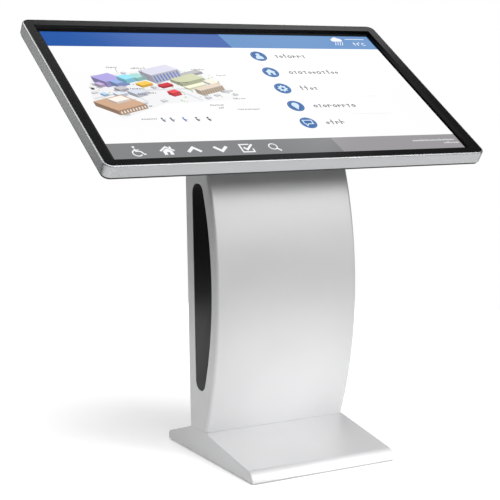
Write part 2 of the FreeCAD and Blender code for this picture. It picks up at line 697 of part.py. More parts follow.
def inlet_screws():
    screws = []
    for x, z in inlet_screw_places():
        shank = rod(INLET_SCREW, (x, -6, z), (x, 3, z))
        head = rod(3.0, (x, 2.5, z), (x, 4.3, z))
        screws.append(in_back(fuse([shank, head]).cut(box(x - 2.2, x + 2.2, 3.5, 5, z - 0.4, z + 0.4))))
    return screws


def switch_housing():
    rim = box(SWITCH_X - SWITCH_WIDTH / 2 - 2, SWITCH_X + SWITCH_WIDTH / 2 + 2, 0, 2,
              INLET_UP - SWITCH_HEIGHT / 2 - 2, INLET_UP + SWITCH_HEIGHT / 2 + 2)
    body = fuse([rim, switch_block(0, -SWITCH_DEPTH, 1)])
    cavity = switch_block(-1.5, -SWITCH_DEPTH + 2, 3)
    reach = SWITCH_WIDTH / 2 - 0.5
    pivot = rod(SWITCH_PIVOT, (SWITCH_X - reach, 0, INLET_UP), (SWITCH_X + reach, 0, INLET_UP))
    return in_back(fuse([body.cut(cavity), pivot]))


def rocker():
    """Two flat faces that meet in a shallow V over the pivot; it rests pressed in at the top."""
    reach = SWITCH_HEIGHT / 2 - 2.3
    tilt = math.tan(math.radians(ROCKER_TILT))
    outline = [(-6, -reach * 0.5), (-6, reach * 0.5), (-1.5, reach), (2.0 + reach * tilt, reach), (2.0, 0),
               (2.0 + reach * tilt, -reach), (-1.5, -reach)]
    half = SWITCH_WIDTH / 2 - 1.5 - SEAM
    key = prism_x([(y, INLET_UP + z) for y, z in outline], SWITCH_X - half, SWITCH_X + half)
    bore = SWITCH_WIDTH
    key = key.cut(rod(SWITCH_PIVOT + RUN_CLEAR, (SWITCH_X - bore, 0, INLET_UP),
                      (SWITCH_X + bore, 0, INLET_UP)))
    key.rotate(V(0, 0, INLET_UP), V(1, 0, 0), ROCKER_TILT)
    return in_back(key)


# ---- equipment in the pedestal ----------------------------------------------------------
def equipment_plate():
    edge = UPRIGHT_X + UPRIGHT_WIDTH / 2 - 4
    plate = box(-edge, edge, UPRIGHT_FRONT - EQUIPMENT, UPRIGHT_FRONT, EQUIPMENT_LOW, EQUIPMENT_HIGH)
    slots = [box(x - 22, x + 22, 0, BIG, EQUIPMENT_LOW + up, EQUIPMENT_LOW + up + 8)
             for x in (-70, 70) for up in (26, 70)]
    return plate.cut(slots)


def media_player():
    half, back = BAY_HALF - PLAYER_MARGIN, UPRIGHT_FRONT + PLAYER_DEPTH
    case = box(-half, half, UPRIGHT_FRONT, back, PLAYER_LOW, PLAYER_HIGH)
    count = int((2 * half - 14) / FIN_PITCH)
    start = -(count - 0.5) * FIN_PITCH / 2
    gaps = [box(start + FIN_PITCH * i, start + FIN_PITCH * (i + 0.5), back - 8, back + 1,
                PLAYER_LOW + 8, PLAYER_HIGH - 8) for i in range(count)]
    return case.cut(gaps)


def power_supply():
    half, back = BAY_HALF - SUPPLY_MARGIN, UPRIGHT_FRONT + SUPPLY_DEPTH
    case = box(-half, half, UPRIGHT_FRONT, back, SUPPLY_LOW, SUPPLY_HIGH)
    columns = int((half - 16) / FIN_PITCH)
    rows = int((SUPPLY_HIGH - SUPPLY_LOW - 40) / 10) + 1
    places = [(FIN_PITCH * i, SUPPLY_LOW + 20 + 10 * j) for i in range(-columns, columns + 1)
              for j in range(rows)]
    holes = [rod(2.2, (x, back - 3, z), (x, back + 2, z)) for x, z in places]
    return case.cut(Part.makeCompound(holes))


def wiring_duct():
    x0 = DUCT_MARGIN - BAY_HALF
    x1, wall, back = x0 + DUCT_WIDTH, DUCT_WALL, UPRIGHT_FRONT + DUCT_DEPTH
    duct = box(x0, x1, UPRIGHT_FRONT, back, DUCT_LOW, DUCT_HIGH)
    hollow = box(x0 + wall, x1 - wall, UPRIGHT_FRONT + wall, back - wall, DUCT_LOW - 1, DUCT_HIGH + 1)
    count = int((DUCT_HIGH - DUCT_LOW - 16) / 12)
    gaps = [box(x1 - 2 * wall, x1 + 1, UPRIGHT_FRONT + 8, back + 1,
                DUCT_LOW + 10 + 12 * i, DUCT_LOW + 15 + 12 * i) for i in range(count)]
    return duct.cut([hollow] + gaps)


# ---- head: display ----------------------------------------------------------------------
def head_frame():
    outer = head_slab(0, 0, FRAME_DEPTH)
    rim = [e for e in outer.Edges if min(v.Z for v in e.Vertexes) > -0.01]
    outer = outer.makeFillet(FRAME_EDGE, rim)
    pocket = head_slab(FRAME_WALL, -1, FRAME_DEPTH - 3)
    window = head_slab(FRAME_WALL + FRAME_LIP, -1, FRAME_DEPTH + 1)
    return in_head(outer.cut([pocket, window]))


def front_bezel():
    plate = head_slab(FRAME_WALL + SEAM, BEZEL_SINK, BEZEL_BACK)
    bevel = head_taper(BEZEL_BORDER - 0.3, BEZEL_SINK - 1, BEZEL_BORDER + BEZEL_BEVEL, BEZEL_BACK + 0.01, 3.0)
    return in_head(plate.cut(bevel))


def cover_glass():
    return in_head(head_slab(GLASS_INSET, BEZEL_BACK + SEAM, GLASS_BACK, 4.0))


def touch_frame():
    body = head_slab(FRAME_WALL + 2 * SEAM, BEZEL_BACK + SEAM, GLASS_BACK + 2)
    return in_head(body.cut(head_slab(TOUCH_INSET, BEZEL_BACK - 1, GLASS_BACK + 3, 4.0)))


def lcd_panel():
    return in_head(head_slab(LCD_INSET, GLASS_BACK + SEAM, FRAME_DEPTH, 3.0))


def panel_rail(side):
    x = side * RAIL_X
    reach = HEAD_HEIGHT / 2 - FRAME_WALL - 2
    lip_reach = HEAD_HEIGHT / 2 - 55
    bar = box(x - RAIL_WIDTH / 2, x + RAIL_WIDTH / 2, -reach, reach, -FRAME_DEPTH - RAIL, -FRAME_DEPTH)
    lips = [box(x + dx - 1.5, x + dx + 1.5, -lip_reach, lip_reach, -BEAM_FRONT, -FRAME_DEPTH - RAIL + 1)
            for dx in (1.5 - RAIL_WIDTH / 2, RAIL_WIDTH / 2 - 1.5)]
    return in_head(fuse([bar] + lips))


def head_beams():
    beams = []
    for edge in (NECK_LOW + NECK_WALL, NECK_HIGH + BEAM_HEIGHT - NECK_WALL):
        beams.append(in_head(box(-RAIL_X - RAIL_WIDTH / 2, RAIL_X + RAIL_WIDTH / 2, edge - BEAM_HEIGHT, edge,
                                 -BEAM_FRONT - BEAM, -BEAM_FRONT)))
    return beams


def neck_box():
    outer = box(-NECK_HALF, NECK_HALF, NECK_LOW, NECK_HIGH, -NECK_BACK, -BEAM_FRONT - BEAM)
    inner = box(-NECK_HALF + NECK_WALL, NECK_HALF - NECK_WALL, NECK_LOW + NECK_WALL, NECK_HIGH - NECK_WALL,
                -NECK_BACK + NECK_WALL, 0)
    side_hole = rod(CABLE_HOLE - 4, (0, NECK_HIGH - 10, -BOARD_CABLE), (0, NECK_HIGH + 10, -BOARD_CABLE))
    tools = [inner, neck_hole(CABLE_HOLE - 2), side_hole] + neck_bolt_holes(NECK_BACK - 10, NECK_BACK + 1)
    return in_head(outer.cut(tools))


def neck_bolts():
    bolts = []
    for x, y in neck_bolt_places():
        head = hexagon(17.0, x, y, -COVER_FACE - NECK_PLATE - 6.4, -COVER_FACE - NECK_PLATE)
        shank = rod(NECK_BOLT, (x, y, -COVER_FACE - NECK_PLATE - 1), (x, y, -NECK_BACK + NECK_WALL + 11))
        bolts.append(in_head(fuse([head, shank])))
    return bolts


def neck_nuts():
    nuts = []
    for x, y in neck_bolt_places():
        nut = hexagon(17.0, x, y, -NECK_BACK + NECK_WALL, -NECK_BACK + NECK_WALL + 8)
        nuts.append(in_head(nut.cut(rod(NECK_BOLT + HOLE_CLEAR, (x, y, -BIG), (x, y, 0)))))
    return nuts


def neck_grommet():
    place = cable_place()
    depth = COVER_FACE + NECK_PLATE
    sleeve = rod(CABLE_HOLE - SEAM, (0, place, -depth - 1), (0, place, -COVER_FACE))
    collar = rod(CABLE_HOLE + 4, (0, place, -depth - 3), (0, place, -depth))
    return in_head(fuse([sleeve, collar]).cut(rod(CABLE_HOLE - 4, (0, place, -BIG), (0, place, 0))))


# ---- head: rear cover and housing -------------------------------------------------------
def cover_screw_ring():
    across = HEAD_WIDTH / 2 - COVER_INSET - COVER_RIM / 2
    up = HEAD_HEIGHT / 2 - COVER_INSET - COVER_RIM / 2
    places = [(share * across, side * up) for share in (-0.8, -0.27, 0.27, 0.8) for side in (-1, 1)]
    return places + [(side * across, y) for side in (-1, 1) for y in (-0.5 * up, 0.5 * up)]


def rear_cover():
    start = FRAME_DEPTH + SEAM
    band = FRAME_DEPTH + COVER_BAND
    rim = COVER_INSET + COVER_RIM
    outer = fuse([head_slab(COVER_INSET, start, band),
                  head_taper(rim, band - 1, rim + COVER_SLOPE, COVER_DEPTH, HEAD_CORNER)])
    inner = fuse([head_slab(COVER_INSET + SHEET, start - 1, band - SHEET),
                  head_taper(rim + SHEET, band - SHEET - 1, rim + COVER_SLOPE + SHEET, COVER_DEPTH - SHEET,
                             HEAD_CORNER)])
    neck = box(-NECK_HALF - 1, NECK_HALF + 1, NECK_LOW - 1, NECK_HIGH + 1, -BIG, 0)
    air = [rod(FAN_BORE, (x, FAN_Y, -BIG), (x, FAN_Y, 0)) for x in (-FAN_X, FAN_X)]
    screws = [rod(COVER_HEAD_SCREW + HOLE_CLEAR, (x, y, -BIG), (x, y, 0)) for x, y in cover_screw_ring()]
    return in_head(outer.cut([inner, neck] + air + screws + vent_slots()))


def vent_slots():
    """Two banks of upright slots above the housing."""
    low = HOUSING_HIGH + HOUSING_FLANGE + 12
    slots = []
    for bank in (-1, 1):
        for i in range(18):
            x = bank * (90 + 12 * i)
            slots.append(rounded_slab(x - 2, x + 2, low, low + 34, 1.9, -BIG, 0))
    return slots


def rear_cover_screws():
    depth = FRAME_DEPTH + COVER_BAND
    screws = []
    for x, y in cover_screw_ring():
        head = rod(3.2, (x, y, -depth - 1.8), (x, y, -depth))
        shank = rod(COVER_HEAD_SCREW, (x, y, -depth - 0.5), (x, y, -FRAME_DEPTH - SEAM))
        screws.append(in_head(fuse([head, shank])))
    return screws


def housing_slots():
    """Speaker slots at both ends of the back, and intake slots along the top wall."""
    slots = []
    for side in (-1, 1):
        for i in range(8):
            y = FAN_Y - 21 + 6 * i
            slots.append(rounded_slab(side * SPEAKER_X - 20, side * SPEAKER_X + 20, y - 1.5, y + 1.5, 1.4,
                                      -HOUSING_BACK - 1, -HOUSING_BACK + HOUSING_WALL + 1))
    return slots


def rear_housing():
    low, high, edge, wall = HOUSING_LOW, HOUSING_HIGH, HOUSING_HALF, HOUSING_WALL
    start = COVER_DEPTH + SEAM
    shell = rounded_slab(-edge, edge, low, high, HOUSING_CORNER, -HOUSING_BACK, -start)
    rim = [e for e in shell.Edges if max(v.Z for v in e.Vertexes) < -HOUSING_BACK + 0.01]
    shell = shell.makeFillet(5.0, rim)
    out = HOUSING_FLANGE
    flange = rounded_slab(-edge - out, edge + out, low - out, high + out, HOUSING_CORNER + out,
                          -start - SHEET, -start)
    hollow = rounded_slab(-edge + wall, edge - wall, low + wall, high - wall, HOUSING_CORNER - wall,
                          -NECK_BACK, 0)
    holes = [rod(FAN_BORE, (x, FAN_Y, -BIG), (x, FAN_Y, 0)) for x in (-FAN_X, FAN_X)]
    holes += [rod(FAN_SCREW + HOLE_CLEAR, (x, y, -BIG), (x, y, 0)) for x, y in fan_screw_places()]
    holes += [rod(COVER_HEAD_SCREW + HOLE_CLEAR, (x, y, -BIG), (x, y, 0))
              for x, y in housing_screw_places()]
    holes += neck_bolt_holes(NECK_BACK - 1, HOUSING_BACK + 1) + [neck_hole(CABLE_HOLE)]
    return in_head(fuse([shell, flange]).cut([hollow] + holes + housing_slots()))


def housing_screw_places():
    x = HOUSING_HALF + HOUSING_FLANGE / 2 + 0.5
    middle = (HOUSING_LOW + HOUSING_HIGH) / 2
    top = HOUSING_HIGH + HOUSING_FLANGE / 2 + 0.5
    bottom = HOUSING_LOW - HOUSING_FLANGE / 2 - 0.5
    sides = [(side * x, middle + dy) for side in (-1, 1) for dy in (-110, 0, 110)]
    return sides + [(dx, y) for y in (bottom, top) for dx in (-170, 0, 170)]


def housing_screws():
    depth = COVER_DEPTH + SEAM + SHEET
    screws = []
    for x, y in housing_screw_places():
        head = rod(3.0, (x, y, -depth - 1.8), (x, y, -depth))
        shank = rod(COVER_HEAD_SCREW, (x, y, -depth - 0.5), (x, y, -COVER_DEPTH - 0.1))
        screws.append(in_head(fuse([head, shank])))
    return screws


# ---- head: fans, speakers, driver board, cable ------------------------------------------
def fan_screw_places():
    half = FAN_SCREW_PITCH / 2
    return [(x + dx, FAN_Y + dy) for x in (-FAN_X, FAN_X) for dx in (-half, half) for dy in (-half, half)]


def fan_frame(x):
    """Square body with a round duct, four struts and a bearing tube for the rotor's shaft."""
    front = -NECK_BACK + FAN_DEPTH
    half = FAN_SIZE / 2
    body = rounded_slab(x - half, x + half, FAN_Y - half, FAN_Y + half, 4.0, -NECK_BACK, front)
    duct = rod(FAN_BORE, (x, FAN_Y, -BIG), (x, FAN_Y, 0))
    holes = [rod(FAN_SCREW + HOLE_CLEAR, (hx, hy, -BIG), (hx, hy, 0)) for hx, hy in fan_screw_places()]
    struts = []
    for i in range(4):
        arm = box(x, x + FAN_BORE + 1, FAN_Y - 2, FAN_Y + 2, front - 3, front)
        arm.rotate(V(x, FAN_Y, 0), V(0, 0, 1), 45 + 90 * i)
        struts.append(arm)
    motor = rod(FAN_HUB - 1, (x, FAN_Y, front - 3), (x, FAN_Y, front))
    bearing = rod(5.0, (x, FAN_Y, front - 14), (x, FAN_Y, front - 1))
    bore = rod(FAN_SHAFT + RUN_CLEAR, (x, FAN_Y, -BIG), (x, FAN_Y, front - 1.5))
    return in_head(fuse([body.cut([duct] + holes), motor, bearing] + struts).cut(bore))


def fan_rotor(x):
    """Hub cup on a shaft, with blades set at an angle across the duct."""
    front = -NECK_BACK + FAN_DEPTH
    top, back = front - 3.6, -NECK_BACK + 2.5
    cup = ring(FAN_HUB, FAN_HUB - 2, (x, FAN_Y, back + 2), (x, FAN_Y, top))
    cup = fuse([cup, rod(FAN_HUB, (x, FAN_Y, back), (x, FAN_Y, back + 2))])
    shaft = rod(FAN_SHAFT, (x, FAN_Y, back + 1), (x, FAN_Y, front - 2))
    reach = FAN_BORE - FAN_TIP_GAP
    sweep = ring(reach, FAN_HUB - 1, (x, FAN_Y, back), (x, FAN_Y, top))
    blades = []
    for i in range(FAN_BLADES):
        blade = box(0, reach + 2, -0.8, 0.8, -30, 30)
        blade.rotate(V(0, 0, 0), V(1, 0, 0), 48)
        blade.rotate(V(0, 0, 0), V(0, 0, 1), 360.0 * i / FAN_BLADES)
        blade.translate(V(x, FAN_Y, (top + back) / 2))
        blades.append(blade.common(sweep))
    return in_head(fuse([cup, shaft] + blades))


def fan_guard(x):
    """Flat pressed guard on the outside of the housing: rings, two crossed bars and four eyes."""
    back, half, strip = -HOUSING_BACK - GUARD, FAN_SIZE / 2, GUARD_STRIP / 2
    screws = [(hx, hy) for hx, hy in fan_screw_places() if abs(hx - x) < FAN_SIZE]
    parts = [ring(radius + strip, radius - strip, (x, FAN_Y, back), (x, FAN_Y, -HOUSING_BACK))
             for radius in (0.24 * FAN_BORE, 0.5 * FAN_BORE, 0.75 * FAN_BORE, FAN_BORE)]
    reach = FAN_SCREW_PITCH / math.sqrt(2)
    for turn in (45, 135):
        bar = box(x - reach, x + reach, FAN_Y - strip, FAN_Y + strip, back, -HOUSING_BACK)
        bar.rotate(V(x, FAN_Y, 0), V(0, 0, 1), turn)
        parts.append(bar)
    parts += [rod(5.0, (hx, hy, back), (hx, hy, -HOUSING_BACK)) for hx, hy in screws]
    holes = [rod(FAN_SCREW + HOLE_CLEAR, (hx, hy, -BIG), (hx, hy, 0)) for hx, hy in screws]
    keep = rounded_slab(x - half, x + half, FAN_Y - half, FAN_Y + half, 4.0, back, -HOUSING_BACK)
    return in_head(fuse(parts).common(keep).cut(holes))


def fan_screws():
    screws = []
    for x, y in fan_screw_places():
        head = rod(3.6, (x, y, -HOUSING_BACK - GUARD - 2), (x, y, -HOUSING_BACK - GUARD))
        shank = rod(FAN_SCREW, (x, y, -HOUSING_BACK - GUARD - 0.5), (x, y, -NECK_BACK + FAN_DEPTH - 2))
        screws.append(in_head(fuse([head, shank])))
    return screws


def speaker(side):
    """Round driver with a flange against the housing's back and a magnet towards the screen."""
    x, back = side * SPEAKER_X, -NECK_BACK
    flange = ring(SPEAKER_RADIUS, SPEAKER_RADIUS - 5, (x, FAN_Y, back), (x, FAN_Y, back + 2))
    basket = Part.makeCone(SPEAKER_RADIUS - 2, 14, 14, V(x, FAN_Y, back + 2), V(0, 0, 1))
    hollow = Part.makeCone(SPEAKER_RADIUS - 4, 11, 12, V(x, FAN_Y, back + 1), V(0, 0, 1))
    magnet = rod(15.0, (x, FAN_Y, back + 15), (x, FAN_Y, back + 24))
    return in_head(fuse([flange, basket.cut(hollow), magnet]))


def driver_board():
    """Circuit board on four pillars on the rear cover, with its chips, heat sink and socket."""
    face = -COVER_DEPTH - 6.0
    board = box(-BOARD_HALF, BOARD_HALF, BOARD_LOW, BOARD_LOW + BOARD_HEIGHT, face - 1.6, face)
    inset = BOARD_PILLAR_INSET
    pillars = [rod(3.0, (x, y, face - 0.5), (x, y, -COVER_DEPTH))
               for x in (inset - BOARD_HALF, BOARD_HALF - inset)
               for y in (BOARD_LOW + inset, BOARD_LOW + BOARD_HEIGHT - inset)]
    socket = box(-12, 12, BOARD_LOW, BOARD_LOW + 14, -BOARD_CABLE - 6, face - 1)
    chips = [box(x - 9, x + 9, y - 9, y + 9, face - 4, face - 1) for x, y in ((-30, 60), (34, 86), (30, 44))]
    sink = [box(-44 + 5 * i, -42 + 5 * i, BOARD_LOW + 70, BOARD_LOW + 100, face - 14, face - 1)
            for i in range(6)]
    return in_head(fuse([board, socket] + pillars + chips + sink))


def head_point(y, depth):
    turn = FreeCAD.Rotation(V(1, 0, 0), HEAD_TILT)
    return turn.multVec(V(0, y, -depth)) + V(0, HEAD_CENTRE_Y, HEAD_CENTRE_Z)


def cable(points, radius):
    """A round cable along straight runs joined by tangent arcs, as large as the runs allow."""
    edges, start = [], points[0]
    for before, corner, after in zip(points, points[1:], points[2:]):
        back, ahead = before - corner, after - corner
        run = min(back.Length, ahead.Length)
        half = (math.pi - back.getAngle(ahead)) / 2
        reach = 0.45 * run
        bend = reach / math.tan(half)
        back.normalize()
        ahead.normalize()
        first, last = corner + back * reach, corner + ahead * reach
        inward = (back + ahead).normalize()
        middle = corner + inward * (bend / math.cos(half) - bend)
        edges += [Part.LineSegment(start, first).toShape(), Part.Arc(first, middle, last).toShape()]
        start = last
        print("cable bend", round(bend, 1), "mm")
    edges.append(Part.LineSegment(start, points[-1]).toShape())
    path = Part.Wire(edges)
    profile = Part.Wire([Part.makeCircle(radius, points[0], points[1] - points[0])])
    tube = path.makePipeShell([profile], True, False)
    print("cable volume", round(tube.Volume), "of", round(math.pi * radius ** 2 * path.Length))
    return tube


def head_cable():
    place = cable_place()
    rise = UPRIGHT_FRONT + 28.0
    points = [V(0, rise, PLAYER_HIGH), V(0, rise, PLAYER_HIGH + 47), head_point(place, COVER_FACE + 43),
              head_point(place, BOARD_CABLE), head_point(BOARD_LOW, BOARD_CABLE)]
    return cable(points, CABLE_RADIUS)


# ---- write every node -------------------------------------------------------------------
def main():
    os.makedirs("parts", exist_ok=True)
    save("base_cover", [base_cover()])
    save("base_plate", [base_plate()])
    save("base_cover_screws", cover_screws())
    for name, (x, y) in foot_places().items():
        save("levelling_foot_" + name, [levelling_foot(x, y)])
    save("foot_lock_nuts", foot_nuts())
    for name, side in (("left", -1), ("right", 1)):
        save("upright_" + name, [upright(side)])
        save("panel_rail_" + name, [panel_rail(side)])
        save("speaker_" + name, [speaker(side)])
        save("fan_frame_" + name, [fan_frame(side * FAN_X)])
        save("fan_rotor_" + name, [fan_rotor(side * FAN_X)])
        save("fan_guard_" + name, [fan_guard(side * FAN_X)])
    save("flange_bolts", flange_bolts())
    save("lower_tie", [lower_tie()])
    save("neck_plate", [neck_plate()])
    save("front_panel", [front_panel()])
    panel, insert = side_panel(), side_insert()
    save("side_panel_left", [panel])
    save("side_panel_right", [mirrored(panel)])
    save("side_insert_left", [insert])
    save("side_insert_right", [mirrored(insert)])
    save("back_frame", [back_frame()])
    save("service_door", [service_door()])
    save("frame_hinge_leaves", [in_back(frame_leaf(z)) for z in hinge_heights()])
    save("door_hinge_leaves", [in_back(door_leaf(z)) for z in hinge_heights()])
    save("hinge_pins", [in_back(hinge_pin(z)) for z in hinge_heights()])
    save("lock_body", [lock_body()])
    save("lock_plug", [lock_plug()])
    save("lock_strike", [lock_strike()])
    save("power_inlet", [power_inlet()])
    save("inlet_screws", inlet_screws())
    save("switch_housing", [switch_housing()])
    save("power_rocker", [rocker()])
    save("equipment_plate", [equipment_plate()])
    save("media_player", [media_player()])
    save("power_supply", [power_supply()])
    save("wiring_duct", [wiring_duct()])
    save("head_frame", [head_frame()])
    save("front_bezel", [front_bezel()])
    save("cover_glass", [cover_glass()])
    save("touch_frame", [touch_frame()])
    save("lcd_panel", [lcd_panel()])
    save("head_beams", head_beams())
    save("neck_box", [neck_box()])
    save("neck_bolts", neck_bolts() + neck_nuts())
    save("neck_grommet", [neck_grommet()])
    save("rear_cover", [rear_cover()])
    save("rear_cover_screws", rear_cover_screws())
    save("rear_housing", [rear_housing()])
    save("housing_screws", housing_screws())
    save("fan_screws", fan_screws())
    save("driver_board", [driver_board()])
    save("head_cable", [head_cable()])


main()
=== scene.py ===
# %% [markdown]
# # A touchscreen kiosk
# The kiosk is folded sheet steel with a powder coat, an anodised aluminium frame round the
# head, and black gloss parts. CAD holds its shape, so this lesson is about three things:
# finishes that look like the real ones, the picture on the screen, and the small detail that
# makes a sheet-metal product look made.

# %% Load the frame
import json
import math
import random
import bmesh
import bpy
from mathutils import Matrix, Vector


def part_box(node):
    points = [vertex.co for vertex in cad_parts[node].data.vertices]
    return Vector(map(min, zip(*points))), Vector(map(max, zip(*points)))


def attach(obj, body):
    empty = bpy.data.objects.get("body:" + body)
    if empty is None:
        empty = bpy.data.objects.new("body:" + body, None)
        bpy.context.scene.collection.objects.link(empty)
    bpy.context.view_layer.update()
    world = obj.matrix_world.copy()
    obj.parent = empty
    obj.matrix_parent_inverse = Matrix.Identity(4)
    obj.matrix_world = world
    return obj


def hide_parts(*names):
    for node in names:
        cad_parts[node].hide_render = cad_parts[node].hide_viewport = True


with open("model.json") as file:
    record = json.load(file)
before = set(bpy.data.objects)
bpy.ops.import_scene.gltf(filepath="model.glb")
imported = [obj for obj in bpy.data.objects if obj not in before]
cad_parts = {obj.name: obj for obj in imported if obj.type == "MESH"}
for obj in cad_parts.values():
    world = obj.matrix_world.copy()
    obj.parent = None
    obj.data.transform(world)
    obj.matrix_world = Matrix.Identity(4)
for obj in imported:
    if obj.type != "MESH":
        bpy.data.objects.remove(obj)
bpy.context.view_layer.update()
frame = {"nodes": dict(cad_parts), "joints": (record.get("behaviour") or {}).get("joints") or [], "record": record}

MM = 0.001

# %% [markdown]
# ## The screen's own axes
# Everything drawn on the display lies in one tilted plane. Instead of typing that plane in
# again, it is read from the frame: the fans blow straight out of the head, so their axis is
# the screen's normal, and the middle of the cover glass is the middle of the picture.

# %% Work out the screen's plane
GLASS = 4.0                                   # thickness, mm
spin = next(j for j in frame["joints"] if j["name"] == "fan_left_spin")
OUT = Vector(spin["axis"]).normalized()
ACROSS = Vector((1, 0, 0))
UP = OUT.cross(ACROSS)
glass_low, glass_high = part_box("cover_glass")
SCREEN = (glass_low + glass_high) / 2 + OUT * (GLASS / 2 * MM)


def on_screen(x, y, lift=0.0):
    """A point x mm across and y mm up the glass, lift mm in front of it."""
    return SCREEN + (ACROSS * x + UP * y + OUT * lift) * MM


print("screen middle", [round(v, 4) for v in SCREEN], "normal", [round(v, 3) for v in OUT])

# %% [markdown]
# ## Helpers for materials
# A material here is a Principled shader with a few nodes in front of it. One function turns a
# hex colour into the linear numbers that Blender works in, one adds a node with its settings
# and its links, and one starts a finish, so each finish reads as a short recipe.

# %% Colours, nodes and finishes
def linear(code):
    """An sRGB hex colour as Blender's linear colour, opaque."""
    parts = [int(code[i:i + 2], 16) / 255 for i in (1, 3, 5)]
    light = [c / 12.92 if c <= 0.04045 else ((c + 0.055) / 1.055) ** 2.4 for c in parts]
    return (*light, 1.0)


def add(tree, kind, settings=None, **inputs):
    """Add a node. An input is given a number, a colour, or another node's output socket.

    An input's name has _ for a space. _3 is the input with index 3, where names repeat."""
    node = tree.nodes.new(kind)
    for name, value in (settings or {}).items():
        setattr(node, name, value)
    for name, value in inputs.items():
        socket = node.inputs[int(name[1:]) if name[1:].isdigit() else name.replace("_", " ")]
        if isinstance(value, bpy.types.NodeSocket):
            tree.links.new(value, socket)
        else:
            socket.default_value = value
    return node


def finish(name, colour, roughness, metallic=0.0, **extra):
    """A new material with a Principled shader. Returns the material, its tree and the shader."""
    material = bpy.data.materials.new(name)
    material.use_nodes = True
    tree = material.node_tree
    shader = tree.nodes["Principled BSDF"]
    shader.inputs["Base Color"].default_value = linear(colour)
    shader.inputs["Roughness"].default_value = roughness
    shader.inputs["Metallic"].default_value = metallic
    for key, value in extra.items():
        shader.inputs[key.replace("_", " ")].default_value = value
    return material, tree, shader


print("mid grey #808080 is", round(linear("#808080")[0], 3), "in linear light")

# %% [markdown]
# No real surface is the same all over. Each finish below gets two patterns of noise: a wide
# one that drifts its tone and its roughness, and a fine one that stands out as relief. Both
# read Object coordinates, so a grain has its real size on every part.

# %% Patterns
def grain(tree, size, detail):
    """Noise from 0 to 1 whose grains are about size mm across."""
    place = add(tree, "ShaderNodeTexCoord")
    return add(tree, "ShaderNodeTexNoise", None, Vector=place.outputs["Object"],
               Scale=1 / (size * MM), Detail=detail).outputs[0]


def uneven(tree, shader, clouds, texture, tones, rough, drift, depth):
    """Let clouds shift a finish between two tones and two roughnesses, and give it relief.

    depth is how deep the texture goes, in mm."""
    tint = add(tree, "ShaderNodeMix", {"data_type": "RGBA"},
               _0=clouds, _6=linear(tones[0]), _7=linear(tones[1]))
    worn = add(tree, "ShaderNodeMapRange", None, _0=clouds, _3=rough - drift, _4=rough + drift)
    bump = add(tree, "ShaderNodeBump", None, Strength=1.0, Distance=depth * MM, Height=texture)
    tree.links.new(tint.outputs[2], shader.inputs["Base Color"])
    tree.links.new(worn.outputs[0], shader.inputs["Roughness"])
    tree.links.new(bump.outputs[0], shader.inputs["Normal"])


print("a grain of 2 mm needs a noise scale of", round(1 / (2 * MM)))

# %% [markdown]
# ## Painted steel
# The base, pedestal and door are mild steel sheet with a fine-texture polyester powder coat.
# Powder melts into a skin with a faint orange peel about a millimetre across, so its
# highlights are broad with soft edges. A plain grey shader would look like paper, so a little
# metallic pigment gives the grey its silver look, and a thin coat gives the skin. The peel is
# drawn at 1.6 mm, a bit coarse, so that it still shows.

# %% Powder coats
COAT_CLOUDS, COAT_DRIFT = 180.0, 0.04         # mm, and either way in roughness
PEEL, PEEL_DEPTH = 1.6, 0.02                  # mm


def powder_coat(name, dark, light, rough, metallic):
    material, tree, shader = finish(name, light, rough, metallic,
                                    Coat_Weight=0.12, Coat_Roughness=0.3)
    uneven(tree, shader, grain(tree, COAT_CLOUDS, 3.0), grain(tree, PEEL, 1.0),
           (dark, light), rough, COAT_DRIFT, PEEL_DEPTH)
    return material


SILVER = powder_coat("powder coated steel, silver", "#c0c0c1", "#cbcbcc", 0.42, 0.25)
DARK = powder_coat("powder coated steel, charcoal", "#1d1e20", "#26272a", 0.55, 0.0)
print("powder coats:", SILVER.name, "and", DARK.name)

# %% [markdown]
# ## Anodised aluminium and plated steel
# The head's frame is an extruded aluminium section, bead blasted and clear anodised. Brushed
# metal would need an anisotropic shader, but blasting leaves tiny craters with no direction,
# so it is a metal with medium roughness and a fine speckle. Screws, brackets and hinges are
# plated steel: the plate has a slow, soft mottle instead.

# %% Aluminium, zinc, nickel and chrome
METAL_DRIFT = 0.05                            # either way in roughness


def metal(name, dark, light, rough, size, depth):
    """A metal whose speckle, size mm across, both tints it and stands out by depth mm."""
    material, tree, shader = finish(name, light, rough, 1.0)
    speckle = grain(tree, size, 2.0)
    uneven(tree, shader, speckle, speckle, (dark, light), rough, METAL_DRIFT, depth)
    return material


ALUMINIUM = metal("anodised aluminium, bead blasted", "#acadae", "#b5b6b7", 0.42, 0.8, 0.0002)
ZINC = metal("zinc plated steel", "#9b9c9b", "#b9bab6", 0.36, 14.0, 0.02)
NICKEL = metal("nickel plated steel", "#c4c3bf", "#d8d7d3", 0.14, 6.0, 0.002)
SATIN = metal("satin chrome plated steel", "#8f8f8e", "#a3a3a1", 0.42, 10.0, 0.002)
CASE = metal("anodised aluminium, dark grey", "#3c3e42", "#4b4d52", 0.4, 1.2, 0.01)
METALS = (ALUMINIUM, ZINC, NICKEL, SATIN, CASE)
print("metals:", ", ".join(material.name for material in METALS))

# %% [markdown]
# ## Black parts
# The bezel and the long insets are moulded ABS with a semi-gloss face. At full strength such
# a black would mirror the lights and read as glass, so its specular level is low. Inside
# parts have a spark-eroded texture, which is a fine random relief. The cable and its grommet
# are rubber, which is rougher still.

# %% Plastics, rubber and board
MOTTLE, PLASTIC_DRIFT = 60.0, 0.04            # mm, and either way in roughness


def plastic(name, dark, light, rough, texture, depth, **extra):
    """A moulded plastic with a texture that is so many mm across and deep."""
    material, tree, shader = finish(name, light, rough, IOR=1.46, **extra)
    uneven(tree, shader, grain(tree, MOTTLE, 2.0), grain(tree, texture, 1.0),
           (dark, light), rough, PLASTIC_DRIFT, depth)
    return material


